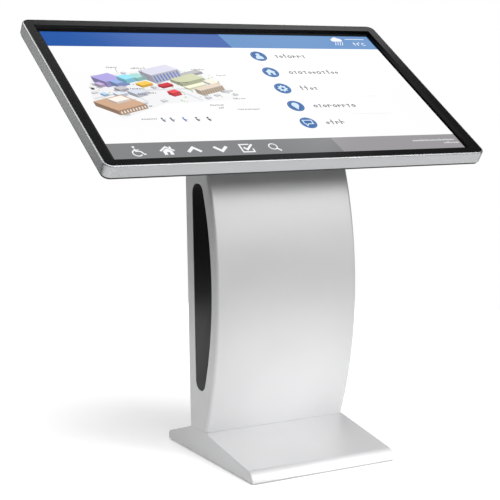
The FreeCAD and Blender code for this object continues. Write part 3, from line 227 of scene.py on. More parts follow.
BLACK_GLOSS = plastic("ABS, black semi-gloss", "#050506", "#080809", 0.22, 2.5, 0.002,
                      Specular_IOR_Level=0.16)
BLACK_MATT = plastic("ABS, black spark textured", "#121213", "#1a1a1c", 0.5, 1.0, 0.03)
GREY_PLASTIC = plastic("PVC, grey extruded", "#8d8f91", "#9b9d9f", 0.45, 1.5, 0.01)
RUBBER = plastic("nitrile rubber, black", "#0d0d0d", "#161616", 0.7, 1.0, 0.03)
BOARD = plastic("circuit board, green solder mask", "#0c3a1d", "#12502a", 0.3, 3.0, 0.01)
PLASTICS = (BLACK_GLOSS, BLACK_MATT, GREY_PLASTIC, RUBBER, BOARD)
print("plastics:", ", ".join(material.name for material in PLASTICS))

# %% [markdown]
# ## Cover glass
# Toughened glass with a black print behind its edge. It could be clear glass over a lit panel,
# but nothing shows through it except the picture, which covers all of it but that edge. So
# the glass only needs to be deep black with a polished front.

# %% Glass
GLASS_BLACK = finish("toughened glass, black printed back", "#060607", 0.06, IOR=1.52,
                     Coat_Weight=1.0, Coat_Roughness=0.03)[0]
print("glass:", GLASS_BLACK.name)

# %% [markdown]
# ## Giving CAD parts their finish
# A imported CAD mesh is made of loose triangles, so a rounded part would shade in facets. For
# each rounded part that shows, a merged copy is made and shaded smooth up to 30 degrees, and
# that copy stands for the CAD node. Remeshing would blur the folds, and merging keeps every
# point. Flat parts and parts inside keep their CAD mesh and only get a material.

# %% Copy the rounded parts
MERGE = 0.01 * MM                             # points nearer than this are the same point
SMOOTH_ANGLE = math.radians(30)
SMOOTH = ["base_cover", "front_panel", "head_frame", "front_bezel", "side_insert_left",
          "side_insert_right", "rear_cover", "rear_housing", "fan_guard_left",
          "fan_guard_right", "head_cable"]
body_of = {node: body for body, nodes in frame["record"]["behaviour"]["bodies"].items()
           for node in nodes}


def new_object(name, data):
    """A new object in the scene, from a mesh, a lamp or a camera."""
    piece = bpy.data.objects.new(name, data)
    bpy.context.scene.collection.objects.link(piece)
    return piece


def merged(mesh):
    """A CAD mesh to work on, with its loose triangles joined at their corners."""
    work = bmesh.new()
    work.from_mesh(mesh)
    bmesh.ops.remove_doubles(work, verts=work.verts, dist=MERGE)
    return work


def smooth_copy(node):
    """A merged, smooth-shaded copy of a CAD node that stands for it."""
    mesh = frame["nodes"][node].data.copy()
    work = merged(mesh)
    work.to_mesh(mesh)
    work.free()
    mesh.shade_smooth()
    mesh.set_sharp_from_angle(angle=SMOOTH_ANGLE)
    piece = new_object(node + "_skin", mesh)
    level = piece.modifiers.new("weighted normals", "WEIGHTED_NORMAL")
    level.keep_sharp, level.weight = True, 100
    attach(piece, body_of[node])
    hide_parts(node)
    return piece


print(len(SMOOTH), "rounded parts and", len(body_of), "nodes in all")

# %% [markdown]
# Each CAD node names the kind of material it is made of. One table says which finish that
# gets. The lock is made of the same steel as the hinges but has a bright nickel plate.

# %% Finish the nodes
FINISHES = {
    "silver_powder": SILVER, "satin_aluminium": ALUMINIUM, "black_gloss": BLACK_GLOSS,
    "dark_powder": DARK, "screen_glass": GLASS_BLACK, "black_plastic": BLACK_MATT,
    "grey_plastic": GREY_PLASTIC, "board_green": BOARD, "cable_rubber": RUBBER,
    "zinc_steel": ZINC, "screw_steel": NICKEL, "hinge_chrome": SATIN,
    "equipment_aluminium": CASE,
}


def wear(piece, material):
    """Give a piece one material all over."""
    piece.data.materials.clear()
    piece.data.materials.append(material)


for part in frame["record"]["subparts"]:
    node, slot = part["node"], part["material_slot"]
    piece = frame["nodes"][node]
    if node in SMOOTH:
        piece = smooth_copy(node)
    bright = node.startswith("lock_") and slot == "hinge_chrome"
    wear(piece, NICKEL if bright else FINISHES[slot])

# %% [markdown]
# ## Screws with a cross recess
# The head's rear cover, housing and fans are held by 32 pan head screws. CAD has them as two
# plain rods each, head and shank. Modelling a recess 32 times, or copying a screw by hand,
# would have to be done again for each new size. So Geometry Nodes build them: one head with
# a cross recess and one shank are set on a point for each screw, sized by what is measured
# on the CAD part.

# %% Take a CAD node apart
def loose_parts(node):
    """The separate parts of a CAD node, each as a list of its points, always in one order."""
    work = merged(frame["nodes"][node].data)
    found, parts = set(), []
    for first in work.verts:
        if first in found:
            continue
        found.add(first)
        part = [first]
        for here in part:                         # the list grows while it is walked
            for other in [edge.other_vert(here) for edge in here.link_edges]:
                if other not in found:
                    found.add(other)
                    part.append(other)
        parts.append([vertex.co.copy() for vertex in part])
    work.free()
    return parts


print("the left fan's guard has", len(loose_parts("fan_guard_left")), "part")

# %% [markdown]
# A screw lies along the screen's normal, with its head at the back. So its points, sorted by
# their distance along that normal and away from it, give its four sizes and its seat.

# %% Measure the CAD screws
SCREW_NODES = ["rear_cover_screws", "housing_screws", "fan_screws"]
RIM_SHARE = 0.95                              # points this far out lie on the head's rim


def measure(part):
    """A screw's seat and its four sizes, in m, from its points."""
    depths = [p.dot(OUT) for p in part]
    top = [p for p, d in zip(part, depths) if d < min(depths) + MERGE]
    middle = sum(top, Vector()) / len(top)
    radii = [(p - middle - OUT * (p - middle).dot(OUT)).length for p in part]
    rim = [d for d, r in zip(depths, radii) if r > RIM_SHARE * max(radii)]
    tip = [r for r, d in zip(radii, depths) if d > max(depths) - MERGE]
    thick = max(rim) - min(rim)
    return {"seat": middle + OUT * thick, "Head Radius": max(radii), "Head Height": thick,
            "Thread Radius": max(tip), "Thread Length": max(depths) - max(rim)}


screws = [measure(part) for node in SCREW_NODES for part in loose_parts(node)]
radii = sorted({round(screw["Head Radius"] / MM, 1) for screw in screws})
print(len(screws), "screws, head radii", radii, "mm")

# %% [markdown]
# The head is drawn once at unit size: a ring of rim, a rounded shoulder, a flat top and a
# tapered cross sunk into it. A boolean cut would leave long thin faces, and drawing the loops
# keeps the head to 170 faces.

# %% Loops and meshes
def walls(work, low, high):
    """Faces between two loops of as many points."""
    for i in range(len(low)):
        j = (i + 1) % len(low)
        work.faces.new((low[i], low[j], high[j], high[i]))


def closed_mesh(work, name):
    """What was worked on, as a mesh whose faces point outwards."""
    bmesh.ops.recalc_face_normals(work, faces=work.faces)
    mesh = bpy.data.meshes.new(name)
    work.to_mesh(mesh)
    work.free()
    return mesh


def cross(arm, half, height):
    """The twelve corners of a cross, with its arms' length and half their width."""
    quarter = [(arm, -half), (arm, half), (half, half)]
    corners = []
    for c, s in ((1, 0), (0, 1), (-1, 0), (0, -1)):
        corners += [Vector((x * c - y * s, x * s + y * c, height)) for x, y in quarter]
    return corners


print("a cross has", len(cross(0.5, 0.13, 1.0)), "corners")

# %% One screw head
SIDES = 24
PAN = [(1.0, 0.0), (1.0, 0.35), (0.95, 0.62), (0.84, 0.82), (0.68, 0.96), (0.6, 1.0)]
RECESS = [(0.5, 0.13, 1.0), (0.3, 0.08, 0.3)]     # arm, half width and height, top and foot
HEAD_ANGLE = math.radians(35)                     # edges sharper than this stay sharp


def screw_head():
    """A pan head with a cross recess, of radius 1 and height 1."""
    work = bmesh.new()
    rings = [[work.verts.new((radius * math.cos(math.tau * i / SIDES),
                              radius * math.sin(math.tau * i / SIDES), height))
              for i in range(SIDES)] for radius, height in PAN]
    crosses = [[work.verts.new(corner) for corner in cross(*size)] for size in RECESS]
    for low, high in [*zip(rings, rings[1:]), crosses]:
        walls(work, low, high)
    pairs = [(ring[i - 1], ring[i]) for ring in (rings[-1], crosses[0]) for i in range(len(ring))]
    edges = [work.edges.get(pair) or work.edges.new(pair) for pair in pairs]
    bmesh.ops.triangle_fill(work, edges=edges, use_beauty=True)
    work.faces.new(crosses[1])
    work.faces.new(rings[0])
    mesh = closed_mesh(work, "screw head")
    mesh.shade_smooth()
    mesh.set_sharp_from_angle(angle=HEAD_ANGLE)
    return bpy.data.objects.new("screw head", mesh)


print("one head has", len(screw_head().data.polygons), "faces")

# %% [markdown]
# A node tree needs a way in, a way out and a way to be run. Its named inputs are set on a
# modifier by the socket's identifier. A size is a number, or the name of an attribute that
# gives each point its own. The result is taken off as a plain mesh, and the modifier goes.

# %% Make and run a node tree
def new_tree(name, inputs):
    """A node tree for geometry with named inputs. Returns the tree, its input and its output."""
    tree = bpy.data.node_groups.new(name, "GeometryNodeTree")
    tree.interface.new_socket("Geometry", in_out="INPUT", socket_type="NodeSocketGeometry")
    for label, kind in inputs:
        tree.interface.new_socket(label, in_out="INPUT", socket_type="NodeSocket" + kind)
    tree.interface.new_socket("Geometry", in_out="OUTPUT", socket_type="NodeSocketGeometry")
    return tree, tree.nodes.new("NodeGroupInput").outputs, tree.nodes.new("NodeGroupOutput")


def run_tree(tree, name, mesh, values):
    """The tree's result on a mesh, as a plain object without a modifier."""
    carrier = new_object(name, mesh)
    modifier = carrier.modifiers.new(name, "NODES")
    modifier.node_group = tree
    for item in tree.interface.items_tree:
        value = values.get(item.name) if item.in_out == "INPUT" else None
        if isinstance(value, str):
            modifier[item.identifier + "_use_attribute"] = True
            modifier[item.identifier + "_attribute_name"] = value
        elif value is not None:
            modifier[item.identifier] = value
    graph = bpy.context.evaluated_depsgraph_get()
    result = bpy.data.meshes.new_from_object(carrier.evaluated_get(graph))
    bpy.data.objects.remove(carrier)
    return new_object(name, result)


SIZES = ("Head Radius", "Head Height", "Thread Radius", "Thread Length")
screw_tree, given, result = new_tree("recessed screws", [(size, "Float") for size in SIZES] + [
    ("Head", "Object"), ("Axis", "Vector"), ("Seed", "Int"), ("Finish", "Material")])
print("named inputs:", ", ".join(socket.name for socket in given if socket.name))

# %% [markdown]
# Each screw stands along the axis and is then turned about it by a random angle, because
# nobody lines screws up. The head and the shank share that turn, and each is stretched from
# unit size by its own two sizes.

# %% Screw node tree
SHANK_SIDES = 16
aim = add(screw_tree, "FunctionNodeAlignRotationToVector", {"axis": "Z"}, Vector=given["Axis"])
angle = add(screw_tree, "FunctionNodeRandomValue", {"data_type": "FLOAT"},
            _2=0.0, _3=math.tau, Seed=given["Seed"])
spun = add(screw_tree, "FunctionNodeAxisAngleToRotation", None,
           Axis=(0, 0, 1), Angle=angle.outputs[1])
turned = add(screw_tree, "FunctionNodeRotateRotation", {"rotation_space": "LOCAL"},
             _0=aim.outputs[0], _1=spun.outputs[0])
head = add(screw_tree, "GeometryNodeObjectInfo", None, Object=given["Head"])
rod = add(screw_tree, "GeometryNodeMeshCylinder", None,
          Vertices=SHANK_SIDES, Radius=1.0, Depth=1.0)
hung = add(screw_tree, "GeometryNodeTransform", None,
           Geometry=rod.outputs["Mesh"], Translation=(0, 0, -0.5))
both = add(screw_tree, "GeometryNodeJoinGeometry")
for unit, radius, length in ((head.outputs["Geometry"], "Head Radius", "Head Height"),
                             (hung.outputs[0], "Thread Radius", "Thread Length")):
    size = add(screw_tree, "ShaderNodeCombineXYZ", None,
               X=given[radius], Y=given[radius], Z=given[length])
    placed = add(screw_tree, "GeometryNodeInstanceOnPoints", None, Points=given["Geometry"],
                 Instance=unit, Rotation=turned.outputs[0], Scale=size.outputs[0])
    screw_tree.links.new(placed.outputs[0], both.inputs[0])
real = add(screw_tree, "GeometryNodeRealizeInstances", None, Geometry=both.outputs[0])
worn = add(screw_tree, "GeometryNodeSetMaterial", None,
           Geometry=real.outputs[0], Material=given["Finish"])
screw_tree.links.new(worn.outputs[0], result.inputs[0])
print(len(screw_tree.nodes), "nodes in the screw tree")

# %% [markdown]
# The measured screws differ in size, so the sizes go in as attributes of the same names.

# %% Set the head's screws
points = bpy.data.meshes.new("screw points")
points.from_pydata([screw["seat"] for screw in screws], [], [])
for size in SIZES:
    column = points.attributes.new(size, "FLOAT", "POINT")
    column.data.foreach_set("value", [screw[size] for screw in screws])
screw_set = run_tree(screw_tree, "recessed_screws", points, {
    **{size: size for size in SIZES},
    "Head": screw_head(), "Axis": list(-OUT), "Seed": 3, "Finish": NICKEL})
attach(screw_set, "root")
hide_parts(*SCREW_NODES)
print("screws:", len(screw_set.data.polygons), "faces")

# %% [markdown]
# The same tree fixes the door's two hinges: two screws through each leaf, with low heads so
# that the door can fold back. The leaves on the door move with it, so its screws are a piece
# of their own. All of these are the same size, so the sizes go in as numbers.

# %% Hinge screws
hinge = next(j for j in frame["joints"] if j["name"] == "door_hinge")
HINGE_WAY = Vector(hinge["axis"]).normalized()
BACK_OUT = HINGE_WAY.cross(ACROSS)
if BACK_OUT.y < 0:
    BACK_OUT = -BACK_OUT
LEAF_EDGE, LEAF_SPREAD = 9.5, 18.0            # mm from the leaf's free edge, and its middle
LEAF_SCREW = dict(zip(SIZES, (3.2, 1.1, 1.5, 1.0)))   # mm


def leaf_screws(node, side):
    """Screw places on each leaf of a node. side is the way its free edge points, -1 or 1."""
    found = []
    for part in loose_parts(node):
        edge = max(side * p.x for p in part)
        face = max(p.dot(BACK_OUT) for p in part if side * p.x > edge - MM)
        along = [p.dot(HINGE_WAY) for p in part]
        for step in (-LEAF_SPREAD, LEAF_SPREAD):
            found.append(ACROSS * side * (edge - LEAF_EDGE * MM) + BACK_OUT * face
                         + HINGE_WAY * ((min(along) + max(along)) / 2 + step * MM))
    return found


for node, side in (("door_hinge_leaves", 1), ("frame_hinge_leaves", -1)):
    places = leaf_screws(node, side)
    points = bpy.data.meshes.new(node + " points")
    points.from_pydata(places, [], [])
    piece = run_tree(screw_tree, node + "_screws", points, {
        **{size: value * MM for size, value in LEAF_SCREW.items()},
        "Head": screw_head(), "Axis": list(BACK_OUT), "Seed": 5, "Finish": NICKEL})
    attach(piece, body_of[node])
    print(node, "has", len(places), "screws")

# %% [markdown]
# ## The picture on the screen
# The display shows a wayfinding page: a blue header with the weather, a drawn site map, five
# round buttons with captions, and a grey footer of symbols. An image texture would be the
# quick way, but it can't be rerun from a script and blurs close up. Here every shape is a
# very thin plate lying on the glass, in layers a fraction of a millimetre apart.

# %% Plates on the glass
LIFT = 0.05                                   # from the glass to the lowest plates, mm
PLATE = 0.1                                   # thickness of one drawn plate, mm
LAYER = 0.15                                  # from one layer of plates to the next, mm


def draw(name, material, shapes, layer):
    """One piece made of thin plates. A shape is (outer loop, inner loop or None), in mm."""
    work = bmesh.new()
    foot = LIFT + LAYER * layer
    for outer, inner in shapes:
        loops = [loop for loop in (outer, inner) if loop]
        low, high = [[[work.verts.new(on_screen(x, y, lift)) for x, y in loop] for loop in loops]
                     for lift in (foot, foot + PLATE)]
        for a, b in zip(low, high):
            walls(work, a, b)
        for level in (low, high):
            if inner:
                walls(work, level[0], level[1])
            else:
                work.faces.new(level[0])
    piece = new_object(name, closed_mesh(work, name))
    wear(piece, material)
    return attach(piece, "root")


print("layers are", LAYER, "mm apart and a plate is", PLATE, "mm thick")

# %% [markdown]
# A few shape makers keep the drawing readable: a box, a disc, and a line of a given width
# with mitred corners, which covers every outline symbol.

# %% Shapes
def shape(points, inner=None):
    """A filled outline, with a hole if it has an inner loop."""
    return [(float(x), float(y)) for x, y in points], inner


def bar(x0, y0, x1, y1):
    return shape([(x0, y0), (x1, y0), (x1, y1), (x0, y1)])


def circle(x, y, radius, steps=40, start=0.0, sweep=360.0):
    """Points on a circle, or on an arc of it with both of its ends."""
    count = steps if sweep == 360.0 else steps + 1
    angles = [math.radians(start + sweep * i / steps) for i in range(count)]
    return [(x + radius * math.cos(a), y + radius * math.sin(a)) for a in angles]


def line(points, width, closed=False):
    """A line of some width through the points."""
    path = [Vector(p) for p in points]
    left, right = [], []
    for i, here in enumerate(path):
        ways = []
        if closed or i > 0:
            ways.append((here - path[i - 1]).normalized())
        if closed or i < len(path) - 1:
            ways.append((path[(i + 1) % len(path)] - here).normalized())
        along = sum(ways, Vector((0, 0))).normalized()
        side = Vector((-along.y, along.x)) * (width / 2 / max(along.dot(ways[0]), 0.5))
        left.append(tuple(here + side))
        right.append(tuple(here - side))
    return (left, right) if closed else (left + right[::-1], None)


def moved(shapes, x, y, size=1.0):
    """Shapes drawn about (0, 0), scaled and put at (x, y)."""
    def place(loop):
        return loop and [(x + size * a, y + size * b) for a, b in loop]
    return [(place(outer), place(inner)) for outer, inner in shapes]


print("a ring has", len(line(circle(0, 0, 5), 1, True)[0]), "points on each side")

# %% [markdown]
# ### Display colours
# A display makes its own light, so its colour is emission behind a polished surface. The
# backlight of a large panel is never perfectly even: each colour drifts a few per cent over
# about a quarter of a metre.

# %% Display colours
BACKLIGHT = 250.0                             # mm, width of the backlight's clouds


def display(name, dark, light=None):
    """A lit display colour that drifts between two tones, or has one all over."""
    material, tree, shader = finish(name, "#060607", 0.12, IOR=1.5, Specular_IOR_Level=0.12,
                                    Emission_Strength=1.0)
    tint = add(tree, "ShaderNodeMix", {"data_type": "RGBA"}, _0=grain(tree, BACKLIGHT, 1.0),
               _6=linear(dark), _7=linear(light or dark))
    tree.links.new(tint.outputs[2], shader.inputs["Emission Color"])
    return material


INK = {
    "white": display("display, white", "#fbfbfb", "#ffffff"),
    "header": display("display, dark blue", "#1651a4", "#205cac"),
    "header_light": display("display, light blue", "#4d83bf", "#5f90c4"),
    "footer": display("display, grey", "#7f8082", "#8b8b8d"),
    "footer_light": display("display, light grey", "#99979a", "#a3a0a4"),
    "button": display("display, button blue", "#1d5698", "#2a66a6"),
    "symbol": display("display, symbol white", "#eef5fc", "#ffffff"),
    "pictogram": display("display, pale blue", "#c4e0fa", "#d8ebfc"),
    "text": display("display, text grey", "#707276", "#808286"),
    "faint": display("display, faint line", "#dcdee2", "#e6e8eb"),
}
print(len(INK), "display colours")

# %% [markdown]
# ### Page background
# The page leaves a dark margin at its sides and top, as the display's own border does. The
# two blues of the header and the two greys of the footer meet at slanted joints.

# %% Page background
PAGE = {"left": -461.0, "right": 461.0, "top": 252.0, "foot": -263.0,
        "header": 188.7, "footer": -198.0}
# band, its lower and upper edge, and where its joint stands on each of them, mm
BANDS = [("header", "header", "top", (23, 10)), ("footer", "foot", "footer", (112, 103))]

draw("page_body", INK["white"],
     [bar(PAGE["left"], PAGE["footer"], PAGE["right"], PAGE["header"])], 0)
for band, foot, top, joint in BANDS:
    low, high = PAGE[foot], PAGE[top]
    draw("page_" + band, INK[band], [shape([
        (PAGE["left"], low), (joint[0], low), (joint[1], high), (PAGE["left"], high)])], 0)
    draw("page_%s_right" % band, INK[band + "_light"], [shape([
        (joint[0], low), (PAGE["right"], low), (PAGE["right"], high), (joint[1], high)])], 0)
print("page", PAGE["right"] - PAGE["left"], "by", PAGE["top"] - PAGE["foot"], "mm")

# %% [markdown]
# ### Captions without words
# The captions stand for text and carry none: each is a row of short strokes with the rhythm of
# lower-case letters, drawn from a fixed seed so that they come out the same every time.

# %% Captions
STROKE, SPACE = 0.17, 0.12                    # a stroke's width and the gap, of the height
letters = random.Random(4)


def caption(x, y, length, height):
    """Strokes like a word of small letters, from x for some length, on the line y."""
    strokes, at, thick = [], x, height * STROKE
    while at < x + length:
        wide = height * letters.uniform(0.42, 0.66)
        tall = height * letters.choice((0.66, 0.66, 0.7, 1.0))
        middle, bow = at + wide / 2, wide / 2 - thick / 2
        kind = letters.randrange(3)
        if kind == 0:
            strokes.append(line(circle(middle, y + height * 0.33, bow, 14), thick, True))
        elif kind == 1:
            arch = circle(middle, y + height * 0.3, bow, 8, 180, -180)
            strokes += [bar(at, y, at + thick, y + tall), line(arch, thick)]
        else:
            arm = y + height * 0.5
            strokes += [bar(middle - thick / 2, y, middle + thick / 2, y + tall),
                        bar(at, arm, at + wide * 0.8, arm + thick * 0.8)]
        at += wide + height * SPACE
    return strokes


print("a stroke of a 20 mm caption is", round(20 * STROKE, 1), "mm wide")

# %% [markdown]
# ### Round buttons
# Five discs with plain pictograms: a visitor, a house, a cog, a map pin and a speech bubble.
# Each is drawn about its own middle with the shape makers, and moved to its button.

# %% Pictograms
def star(points, outer, inner):
    """A star with so many points."""
    loop = []
    for i in range(2 * points):
        radius, turn = (outer, inner)[i % 2], math.pi * i / points
        loop.append((radius * math.sin(turn), radius * math.cos(turn)))
    return loop


COG_HOLE = circle(0, 0, 3.6, 16, 90, -360 * 15 / 16)[:16]     # as many points as the cog
PICTOGRAMS = [
    [shape(circle(0, 5.5, 4.2, 20)),
     shape([(-8, -10)] + circle(0, -5.5, 8, 12, 180, -180) + [(8, -10)])],
    [shape([(-11, 1), (0, 11), (11, 1), (8, 1), (8, -9), (2.5, -9), (2.5, -2), (-2.5, -2),
            (-2.5, -9), (-8, -9), (-8, 1)])],
    [shape(star(8, 11.5, 7.5), COG_HOLE)],
    [shape(circle(0, 3, 7.6, 20, 215, -250) + [(0, -12)])],
    [line([(-9, -2), (-9, 8), (9, 8), (9, -3), (-1, -3), (-6, -9), (-6, -3), (-9, -3)], 2.4)],
]
print(len(PICTOGRAMS), "pictograms")

# %% Buttons
BUTTON, PICTOGRAM_SIZE = 22.0, 1.3            # radius in mm, and scale
BUTTON_SIDES = 48
RIM_INSET, RIM_WIDTH = 3.2, 1.2               # pale ring inside the disc's edge, mm
CAPTION_HEIGHT, CAPTION_DROP = 20.0, 8        # mm, and from the button's middle to its line
RULE_DROP, RULE_END = 36.0, 330               # mm, faint line between two buttons
# middle of the button, start of its caption and the caption's length, mm
BUTTONS = [(80, 151, 127, 90), (78.7, 78, 130, 143), (77.3, 6.7, 127, 50),
           (76, -68, 125, 115), (74.7, -138, 123, 50)]

discs, rims, symbols, captions, rules = [], [], [], [], []
for (x, y, text_x, text_length), pictogram in zip(BUTTONS, PICTOGRAMS):
    discs.append(shape(circle(x, y, BUTTON, BUTTON_SIDES)))
    rims.append(line(circle(x, y, BUTTON - RIM_INSET, BUTTON_SIDES), RIM_WIDTH, True))
    symbols += moved(pictogram, x, y, PICTOGRAM_SIZE)
    captions += caption(text_x, y - CAPTION_DROP, text_length, CAPTION_HEIGHT)
    rules.append(bar(text_x - 6, y - RULE_DROP - 0.5, RULE_END, y - RULE_DROP + 0.5))
draw("page_buttons", INK["button"], discs, 1)
draw("page_button_rims", INK["header_light"], rims, 2)
draw("page_symbols", INK["pictogram"], symbols, 2)
draw("page_captions", INK["text"], captions, 1)
draw("page_rules", INK["faint"], rules[:-1], 1)
print(len(captions), "strokes of caption")

# %% [markdown]
# ### Header and footer symbols
# A rain cloud and a temperature stand in the header. The footer has six white symbols in a
# row: a wheelchair, a house, two chevrons, a tick in a box and a magnifier.

# %% Symbols
def cloud(x, y):
    """Three puffs of a cloud, and its flat foot with four drops of rain."""
    puffs = [shape(circle(x + dx, y + dy, r, 20))
             for dx, dy, r in ((-9, 0, 7), (0, 4, 9.5), (10, 0, 7.5))]
    drops = [line([(x + dx + 3, y - 9), (x + dx - 5, y - 26)], 1.7) for dx in (-9, -2, 5, 12)]
    return puffs, [bar(x - 10, y - 7, x + 11, y + 1)] + drops


def wheelchair():
    return [line(circle(-1, -5, 10, 24, 75, 250), 2.8), shape(circle(-3, 15.5, 3, 14)),
            line([(-3, 10), (-2, 1), (8, 0), (13, -10), (17, -9)], 3.2), bar(-2, 4.2, 6, 6.6)]


def house():
    walls_and_door = [(-10.5, -14), (-3, -14), (-3, -5), (3, -5), (3, -14), (10.5, -14),
                      (10.5, -1), (0, 8), (-10.5, -1)]
    return [line([(-16, -1), (0, 13), (16, -1)], 4.2), bar(8, 6, 11.5, 14),
            shape(walls_and_door)]


def chevron(up):
    """An arrow head that points up (1) or down (-1)."""
    return [line([(-15, -7.5 * up + 0.5), (0, 7.5 * up + 0.5), (15, -7.5 * up + 0.5)], 7.0)]


def tick_box():
    return [line([(9, 13), (-14, 13), (-14, -13), (13, -13), (13, -2)], 3.6),
            line([(-7, 3), (-1, -5), (16, 13)], 5.0)]


def magnifier():
    return [line(circle(-2, 3, 9.5, 30), 2.8, True), line([(5, -4), (13, -12)], 4.4)]


print("a wheelchair has", len(wheelchair()), "shapes")

# %% Header and footer
FOOTER_LINE, FOOTER_SCALE = -229, 1.06        # middle of the row in mm, and scale
FOOTER_SYMBOLS = [(-400, wheelchair()), (-329, house()), (-265, chevron(1)),
                  (-198, chevron(-1)), (-133, tick_box()), (-63, magnifier())]
puffs, rain = cloud(353, 232)
white = [part for x, symbol in FOOTER_SYMBOLS
         for part in moved(symbol, x, FOOTER_LINE, FOOTER_SCALE)]
white += puffs[:1] + [bar(383, 236, 443, 238.2)]
draw("page_white_symbols", INK["symbol"], white, 1)
draw("page_cloud", INK["symbol"], puffs[1:2], 2)
draw("page_cloud_end", INK["symbol"], puffs[2:], 3)
draw("page_rain", INK["symbol"], rain, 4)
small = caption(398, 207, 12, 15) + [line(circle(418, 220, 2.2, 12), 1.0, True)]
small += [line(circle(430, 213, 5.5, 14, 50, 260), 2.0)]
small += caption(325, -223, 122, 7.0) + caption(412, -235, 40, 7.0)
draw("page_small_text", INK["symbol"], small, 1)
print(len(white) + len(small), "white shapes")

# %% [markdown]
# ### The site map
# A generic map of invented buildings, drawn as a drawing board would: each is a box in an
# oblique view with a light roof, a middle-toned front and a dark end. Real boxes would cast
# shadows on the page, and flat faces stay a picture. A nearer building lies in a higher
# layer, so it covers those behind it.

# %% Boxes in an oblique view
ALONG, BACKWARD = Vector((0.93, 0.31)), Vector((-0.70, 0.56))


def shade(code, factor):
    """A hex colour made lighter or darker by a factor."""
    parts = [min(255, round(int(code[i:i + 2], 16) * factor)) for i in (1, 3, 5)]
    return "#%02x%02x%02x" % tuple(parts)


def building(x, y, wide, deep, tall):
    """Roof, front and end wall of an oblique box. (x, y) is its nearest lower corner."""
    near, up = Vector((x, y)), Vector((0, tall))
    side, back = ALONG * wide, BACKWARD * deep
    front = [near, near + side, near + side + up, near + up]
    end = [near + back, near, near + up, near + back + up]
    roof = [near + up, near + side + up, near + side + back + up, near + back + up]
    return [shape([tuple(p) for p in face]) for face in (roof, front, end)]


def columns(x, y, wide, tall, count):
    """Upright strips across a building's front wall, for columns or windows."""
    strips = []
    for i in range(count):
        foot = Vector((x, y)) + ALONG * (wide * (i + 0.3) / count)
        step = ALONG * (wide * 0.42 / count)
        top = Vector((0, tall))
        strips.append(shape([tuple(p) for p in (foot, foot + step, foot + step + top, foot + top)]))
    return strips


print("the shaded end of a white wall is", shade("#ffffff", 0.76))

# %% Map buildings
# name, colour, layer, nearest corner, width, depth, height
BUILDINGS = [
    ("slab", "#a9a8ad", 3, -168, 52, 62, 16, 9), ("hall", "#c9c8d6", 4, -250, 30, 86, 36, 34),
    ("library", "#a39bd0", 3, -374, 15, 50, 40, 22), ("wing", "#90a6d4", 4, -350, 14, 36, 20, 16),
    ("pool", "#8fd0e6", 5, -322, 30, 28, 26, 16),
    ("pavilion", "#9ccbc6", 4, -292, 38, 28, 24, 14),
    ("annex", "#bda9cd", 4, -392, 14, 14, 16, 10),
    ("green_hall", "#bcc0a0", 5, -186, 16, 74, 34, 14),
    ("court", "#dfe0c4", 6, -176, 0, 58, 14, 8), ("terrace", "#d9d6c6", 5, -108, 18, 24, 26, 8),
    ("cafe", "#ecb84e", 6, -290, 12, 32, 18, 9), ("stall", "#bf3340", 7, -240, 8, 32, 14, 8),
    ("lodge", "#b7b4ba", 5, -350, -6, 24, 18, 10), ("clinic", "#c6cbd6", 6, -318, -28, 32, 26, 14),
    ("store", "#a8c4e2", 5, -396, -22, 12, 12, 7), ("school", "#cfd7e4", 5, -362, -26, 26, 16, 10),
    ("arcade", "#cdbfae", 7, -150, -22, 72, 18, 20), ("shop", "#d8484e", 8, -226, -26, 24, 16, 14),
    ("museum", "#bf9c82", 7, -386, -96, 82, 66, 18),
    ("museum_roof", "#eadfd6", 8, -378, -52, 40, 24, 7),
]
FACES = (("roof", 1.13), ("front", 0.9), ("end", 0.76))       # and how light each is
# piece, material, its two tones, x, y, width, height, count and layer
STRIPS = [
    ("map_hall_columns", "blue columns", "#5f78bd", "#7186c4", -249, 33, 82, 26, 8, 5),
    ("map_arcade_columns", "brown columns", "#97806a", "#a38b74", -149, -21, 70, 16, 9, 8),
    ("map_museum_windows", "museum windows", "#eee2d8", "#f6ece4", -384, -92, 78, 9, 9, 8),
    ("map_library_windows", "library windows", "#7f78b8", "#8a83c0", -348, 17, 32, 8, 7, 5),
]
for name, colour, layer, x, y, wide, deep, tall in BUILDINGS:
    for (part, factor), face in zip(FACES, building(x, y, wide, deep, tall)):
        tone = display("display, %s %s" % (name, part),
                       shade(colour, factor * 0.97), shade(colour, factor * 1.03))
        draw("map_%s_%s" % (name, part), tone, [face], layer)
for name, ink, dark, light, x, y, wide, tall, count, layer in STRIPS:
    draw(name, display("display, " + ink, dark, light), columns(x, y, wide, tall, count), layer)
print(len(BUILDINGS), "buildings")

# %% [markdown]
# Between the buildings lie a pale ground and a few paths, each one flat plate.

# %% Map ground and paths
GROUND = [(-430, -36), (-384, -108), (-260, -52), (-150, -44), (-62, -40), (-70, 30),
          (-100, 76), (-200, 98), (-300, 78), (-396, 66), (-420, 20)]
PATHS = [[(-424, -30), (-330, 2), (-210, 6), (-90, 16)], [(-330, 2), (-300, -46)],
         [(-260, 4), (-206, 60), (-196, 90)], [(-210, 6), (-160, -40)], [(-400, 50), (-330, 2)]]
PATH_WIDTH = 5.0                              # mm
draw("map_ground", display("display, map ground", "#f1f1f3", "#f8f8f9"), [shape(GROUND)], 1)
draw("map_paths", display("display, path", "#dcdde1", "#e5e6e9"),
     [line(path, PATH_WIDTH) for path in PATHS], 2)
print("ground with", len(GROUND), "corners and", len(PATHS), "paths")

# %% [markdown]
# Small houses and trees fill the ground. Placing each by hand would take long and look laid
# out, so they are scattered with a fixed seed, and any spot outside the ground is left out.

# %% Houses and trees
SPOTS, HOUSES = 150, 40
HOUSE_LAYER, TREE_LAYER = 1.35, 2.7
HOUSE_TONES = (("roofs", "#e2e2e6"), ("fronts", "#c6c7cd"), ("ends", "#abadb5"))


